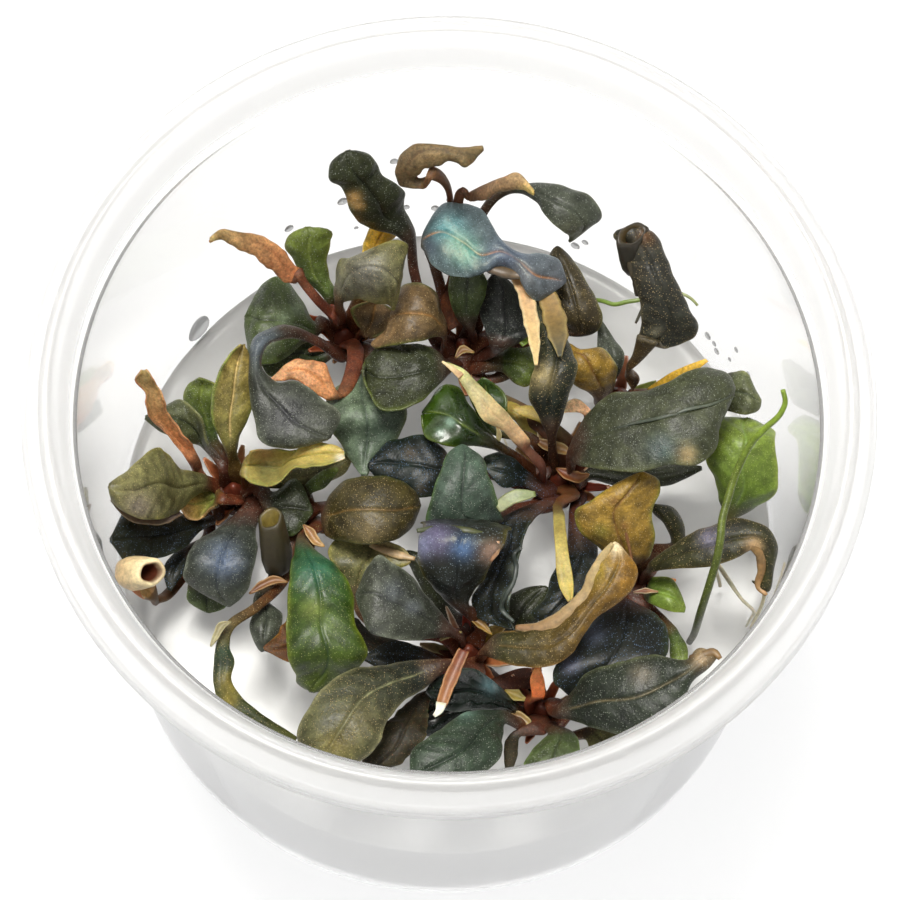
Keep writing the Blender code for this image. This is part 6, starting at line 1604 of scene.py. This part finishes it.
# %% Flaps, strips and hooks
# name, leaf it lies on, slot | rise over that leaf or own height, curl, tones | path on the plan | widths;
# flap_tower is the tower's inner face, painted near black for the painted shade inside the roll
STRIP_TABLE = """
strap_cream leaf_right_7 strap | 2 0.5 #b88458 #c4ac74 #dccb9c | 6.2 27.4, 7.2 25.9, 8.8 23, 9.7 19.6,
 10.3 15.8, 10.5 13.4 | 1 1.5 2 2 1.4 0.4;
strap_gold leaf_right_7 strap | 1.7 0.5 #a07c3c #34351f #a8945c | 10.6 25.4, 11.5 23.1, 12.5 20.1, 13.1 17.4,
 13.4 14.6 | 1.6 2.4 3 2.6 0.5;
flap_gold leaf_front_5 gold_fold | 0.7 -1.3 #806040 #b09a68 #c4b088 | 8.8 -20.5, 12.2 -20.2, 14.2 -19.1,
 16 -17.3, 17.2 -15.9, 17.9 -13.8, 19 -11.2, 20.2 -9.4 | 0.7 1.5 2.3 2 1.9 1.7 1.2 0.5;
flap_teal leaf_rear_5 iridescent | 0.3 -1.4 #4c3a26 #5c4a30 #444c50 | 3.2 26.9, 4.8 26.1, 6.4 25.7, 8 25.4,
 9.5 25.2 | 0.6 1.5 1.7 1.4 0.6;
edge_tan_blue leaf_front_1 rollover | 0.5 -1 #b48c68 #9c7454 #c8a07c | 6.4 -9.6, 6.2 -10.8, 5.6 -12.2 |
 0.5 1 0.4;
edge_olive leaf_front_1 rollover | 0.4 -1.2 #343a18 #40441c #4c5024 | -3.4 -8.6, -0.6 -8.1, 2.4 -8.3,
 5.6 -8.9 | 0.5 0.9 0.9 0.4;
fold_tan leaf_front_3 bean | 0.5 -1.5 #a88c66 #b89c74 #8a7a40 | -9 -10.6, -7.2 -11.2, -5.2 -11.8,
 -3.5 -12.2 | 0.5 1.2 1.2 0.5;
margin_pale leaf_right_5 big_grey | 0.5 -1 #262c28 #313a32 #424c42 | 9.3 -10.3, 8.5 -11, 8.7 -12.8,
 8.4 -14.8, 7.5 -16.5, 7.1 -18.2, 8.6 -19.8 | 0.4 0.6 0.6 0.6 0.6 0.6 0.4;
window_pale leaf_right_4 lemon | 0.3 0.4 #8c9068 #6a7840 #9ca078 | 6.2 -5.4, 8 -4, 10.8 -3.4 | 1.4 2 0.8;
hook_pale leaf_right_3 straw | 0.4 0.6 #b08860 #d8c898 #ccb488 | 1.4 11.6, 0.2 12.6, -1 13.5 | 0.9 0.7 0.3;
rib_gold leaf_side_1 gold | 0.3 -0.8 #6a4326 #7c5430 #8c6436 | 19.5 -2, 21 -5, 21.8 -8, 22.8 -12.5 |
 0.4 0.45 0.4 0.25;
ridge_grey leaf_right_6 big_grey | 0.3 -1.2 #383f34 #4c5444 #464c3c | 20.5 5.6, 23 6.3, 26 7.1, 29 8.2, 32 9,
 34 10 | 0.2 0.4 0.5 0.5 0.4 0.2;
band_bronze leaf_left_5 bronze | -1.2 0.9 #5c4a44 #6c5844 #7c6a4c | -32 -7.3, -35 -8.4, -38.5 -7.7,
 -40.4 -5.8 | 1 1.6 1.4 0.5;
tip_tan leaf_rim_4 slate_big | 0.5 -2.6 #5c4830 #80643c #6c5436 | 29.6 -23.6, 31.2 -23.2, 32.6 -22.8,
 33.3 -23.6 | 0.8 1.6 1.5 0.6;
curl_tan leaf_side_2 curl | 0.4 -2.2 #7c6036 #a07c50 #8c6c44 | 36.6 -8.8, 37.8 -9.8, 38.2 -12, 37.9 -14.4,
 38.8 -15.4 | 1 1.5 1.3 1.1 0.5;
seam_tower leaf_far_1 tower | 0.5 -1 #4c4a3e #585440 #3c3a30 | 22.6 19.4, 23.8 22.4, 25 25.6, 25.2 27.8,
 24.4 29.8, 24.2 31.4 | 0.3 0.45 0.45 0.45 0.4 0.3;
flap_tower leaf_far_1 tower | 0.25 0.5 #251f12 #3a3018 #3c3420 | 23 23, 23.2 25.4, 22.8 28, 22.2 30.4 |
 1 2.6 3.2 2.4;
stub_lime leaf_rear_10 fresh | 0.6 0.8 #5e791c #80912d #939d42 | 8.6 16, 9.6 16.8, 10.8 17 | 0.7 0.9 0.4;
stub_tan - straw | 38.5 1.6 #682b10 #936032 #a57947 | 2.7 -23.6, 1.7 -26.1, 0.7 -28.9, 0.2 -30.7 |
 1.5 1.9 1.9 1.4;
stub_rag - straw | 38.9 0.6 #d2cdb0 #dfddc8 #e7e9dd | 0.2 -30.2, 0 -31.2, -0.6 -31.9 | 1.3 1 0.5;
bract_right_a - tan_roll | 33.5 2.2 #683d1a #997540 #af9962 | 10.3 3.8, 12.2 2.8, 13.9 2.4, 15.6 1.6 |
 0.25 2 1.8 0.2;
bract_right_b - tan_roll | 32 2.2 #6a2b0f #8c592a #a8844d | 13.2 0, 14.4 -0.7, 15.9 -1.2, 17.3 -0.6 |
 0.25 2 2 0.2;
bract_right_c - straw | 34.5 2.2 #806634 #a89c64 #b5ac79 | 5.9 5.3, 6.2 4.1, 5.9 2.6 | 0.25 0.9 0.2;
bract_rim_a - straw | 31.5 2.2 #8c7324 #a5964a #b2a76c | 7.7 -28.4, 8.9 -29, 10.5 -29.6 | 0.25 2 0.2;
bract_rim_b - straw | 30.5 2.2 #6a431c #937b3e #a89962 | 8.1 -32.4, 9.1 -31.6, 10.3 -32.3, 11.1 -33.5 |
 0.25 1.6 1.6 0.2;
bract_front_a - gold | 33.5 2.2 #684312 #86661f #997e39 | 3.1 -19.4, 4.5 -20.2, 6 -21.5 | 0.25 1.6 0.2;
bract_front_b - straw | 33 2.2 #685024 #867543 #9f9462 | -0.2 -22.4, 1 -21.6, 2.4 -21.3 | 0.25 1.3 0.2;
bract_stem - straw | 40 2.2 #80754f #968e67 #a8a17b | -25.2 -20.9, -26.3 -21.5, -26.9 -22.8, -27.5 -24.1 |
 0.25 1.4 1.1 0.2;
bract_left_a - tan_roll | 34.5 2.2 #5e3112 #865c2f #9f7e4a | -23.2 -17.3, -21.7 -16.2, -20.1 -15.5,
 -18.6 -15.7 | 0.25 1.4 1.4 0.2;
bract_left_b - straw | 35.5 2.2 #805027 #a8834f #b59c69 | -17.1 -8.3, -16.2 -9.4, -15.5 -10.4, -14.4 -11 |
 0.25 1.6 1.6 0.2;
bract_back_a - tan_roll | 34.5 2.2 #753712 #99632f #ac814a | -16 9.5, -15.6 10.8, -15.9 12.4 | 0.25 1.3 0.2;
bract_rear_a - tan_roll | 34.5 2.2 #5e3114 #866839 #a59158 | 0.6 14, 1.5 15.1, 2.9 14.8 | 0.25 1.5 0.2;
bract_side_a - straw | 34 2.2 #682a0f #93633b #bbb28e | 22.8 -15.6, 24.1 -15.4, 25.8 -15.4 | 0.25 0.99 0.2;
tear_white leaf_far_1 tower | 0.5 0.3 #c8c4b4 #e0dccc #e8e4d8 | 24.3 17.8, 25.2 18.4, 26.1 18.9 |
 0.25 0.4 0.25;
"""


def leaf_height(name, x, y):
    """Height at which the settled blade is seen at (x, y): that of its nearest point in the plan."""
    fine, _, _ = between(LEAVES[name]["settled"])
    gap = (fine[..., 0] - x) ** 2 + (fine[..., 1] - y) ** 2
    return float(fine[..., 2].ravel()[np.argmin(gap)])


def on_leaf(name, points, rise):
    """Points in space over a blade, from plan places (x, y); with no blade, rise is the height itself."""
    return sighted((x, y, (leaf_height(name, x, y) if name in LEAVES else 0.0) + rise) for x, y in points)


strips = records(STRIP_TABLE)
for (name, carrier, slot), ([(rise, curl, *tones)], points, [widths]) in strips:
    shell, tints = ribbon(on_leaf(carrier, points, rise), widths, curl, tones)
    mesh_piece(name, [shell], bract_skin, tints)
print("strips:", len(strips))

# %% [markdown]
# ## Rolled blades with an open mouth
#
# A blade that dries from its tip can close to a tube with an open mouth; the cream roll's inside is painted
# dark brown as painted shade in the hollow.  Rings run from the closed end up to the lip and back down
# inside, so one closed surface gives both the outside and the hollow.

# %% Rolled blades
ROLL_COUNT = 32
ROLLED = [
    # name, slot, plan place and height of the closed end and of the mouth, widest radius, flatness, tones
    # roll_cream's last tone, #4a1f0c, is painted shade inside its mouth
    ("roll_cream", "leaf_straw", (-38.6, -15.2, 38.0), (-35.0, -15.0, 42.0), 2.25, 0.86,
     ("#c89c60", "#e6d2a4", "#4a1f0c")),
    ("roll_dark", "leaf_taupe", (-19.7, -14.8, 33.0), (-21.1, -7.6, 38.5), 2.0, 0.8,
     ("#15120a", "#332b12", "#75652c")),
    ("roll_tower", "leaf_tower", (23.2, 27.0, 47.0), (21.9, 31.3, 53.6), 2.9, 0.45,
     ("#2a2c24", "#2c261a", "#4e3e1e")),
]
ROLL_PROFILE = [
    # share of the way from the closed end to the mouth, and share of the widest radius
    (0.0, 0.15), (0.03, 0.55), (0.12, 0.82), (0.35, 1.0), (0.6, 0.98), (0.82, 0.9), (0.95, 0.86), (1.0, 0.78),
    (1.02, 0.66), (0.98, 0.54), (0.86, 0.47), (0.7, 0.42), (0.5, 0.3), (0.42, 0.1),
]


def roll_rings(start, end, widest, flat, seed):
    """A cup-shaped roll: rings at start + u (end - start), of radius widest r(u), out to the lip and back."""
    axis = end - start
    side = unit(np.cross(axis, [0.0, 0.0, 1.0]))
    other = unit(np.cross(side, axis))
    a = np.linspace(0, 2 * np.pi, ROLL_COUNT, endpoint=False)[None, :]
    along, share = (np.array(column)[:, None] for column in zip(*ROLL_PROFILE))
    r = widest * share * (1 + 0.07 * np.sin(2 * a + seed + 2 * along) + 0.04 * np.sin(5 * a + 3 * seed))
    skew = along + 0.10 * np.sin(a + seed) * along
    return (start + axis * skew[..., None] + side * (r * np.cos(a))[..., None]
            + other * (r * np.sin(a) * flat)[..., None])


for name, slot, closed, mouth, widest, flat, (low, high, inner) in ROLLED:
    rings = roll_rings(sight(*closed), sight(*mouth), widest, flat, len(name))
    step = np.linspace(0, 1, len(ROLL_PROFILE))
    tones = ramp([(0, low), (0.45, high), (0.6, high), (0.72, inner), (1, inner)], step)
    tints = with_poles(rings, np.repeat(tones, ROLL_COUNT, axis=0))
    mesh_piece(name, [closed_rings(rings)], bract_skin, tints)
print("rolled blades:", len(ROLLED))

# %% [markdown]
# ## Drops and fine roots
#
# Water from the jelly condenses as small drops on the back wall, and a splash of jelly sticks to the left.  A
# drop is a flattened ball on the wall, a little heavier below, at the place where its line of sight meets the
# wall.  It bends light less than real water would, because so small a ball would else turn black at its edge.

# %% Drops and fine roots
DROP_FLAT, SPLASH_FLAT = 0.45, 0.4
DROP_TALL = 1.2
DROP_SIZE_SHARE = 0.8
# where a drop is seen on the plan, and its half width in mm
DROPS = items("""-20.5 30.6 0.8, -14 34.5 0.9, -7.8 40.2 0.7, -2.8 38.3 0.8, -6.1 34 0.6, -2.5 34 0.7,
0.7 36 0.8, 15 29.5 0.8, 16.2 30 0.6, 31.5 18 0.7, 32.3 17 0.5, 32.6 16 0.6, 35 16.3 0.5, 36.5 13 0.6,
-17.8 27.6 0.5, -0.8 35.2 0.5, 34.2 15 0.4, -12.2 31 0.4""")
SPLASH = (-31.0, 16.8, 1.9)
FINE_ROOTS = [
    ("33 -11.7 33, 34.5 -14 33, 35.8 -16 31, 37.2 -17.4 29, 37.6 -18.6 25", [0.24, 0.18]),
    ("38.9 -10.6 33, 38.7 -13.5 32, 38.3 -16.5 30, 37.4 -18.5 28, 36.9 -19.6 24.5", [0.28, 0.2]),
    ("9 -1 27, 7.5 2 26, 6.5 4.5 24.5", [0.2, 0.12]),
    ("-10 4 28, -8.6 6.4 26, -7.4 8.6 24.2", [0.2, 0.12]),
]
FINE_TONES = [(0, "#c8b888"), (0.5, "#d8d0b0"), (1, "#e4dec8")]


def wall_point(x, y):
    """Where the line of sight at (x, y) meets the inside of the cup's wall, found by halving the heights."""
    low, high = GEL_TOP, COLLAR_Z
    for _ in range(30):
        h = (low + high) / 2
        px, py, _ = sight(x, y, h)
        if math.hypot(px, py) > inner_radius(h):
            low = h
        else:
            high = h
    return sight(x, y, (low + high) / 2)


def drop_shell(x, y, size, flat):
    """A flattened, slightly sagging drop on the wall: an ellipsoid of radii size * flat, size, size * 1.2."""
    centre = wall_point(x, y)
    inward = -unit(np.array([centre[0], centre[1], 0.0]))
    side = np.array([-inward[1], inward[0], 0.0])
    u = np.linspace(0, np.pi, 11)[1:-1, None]
    a = np.linspace(0, 2 * np.pi, ROUND_COUNT, endpoint=False)[None, :]
    tall = np.sin(u) * np.sin(a) * (1 + 0.25 * np.sin(a)) * DROP_TALL
    ball = size * (inward * (np.cos(u) + 0 * a)[..., None] * flat
                   + side * (np.sin(u) * np.cos(a))[..., None] + np.array([0, 0, 1.0]) * tall[..., None])
    return closed_rings(centre + inward * 0.05 + ball)


def clear_water():
    """Condensed water, clear: it shines at its edges and shows the wall through its middle."""
    material, tree = new_material("condensed water, clear")
    surface(tree, Base_Color=rgba("#f4f5f6"), Roughness=0.12, IOR=1.16, Transmission_Weight=0.6)
    return material


water = clear_water()
drops = [drop_shell(x, y, size * DROP_SIZE_SHARE, DROP_FLAT) for x, y, size in DROPS]
mesh_piece("drops", drops, water)
mesh_piece("gel_splash", [drop_shell(*SPLASH, SPLASH_FLAT)], water)
shells, tints = zip(*[tube(sighted(items(path)), radius, FINE_TONES, step=0.4, count=8)
                      for path, radius in FINE_ROOTS])
mesh_piece("fine_roots", shells, root_skin, np.concatenate(tints))
print("drops:", len(DROPS), "fine roots:", len(FINE_ROOTS))
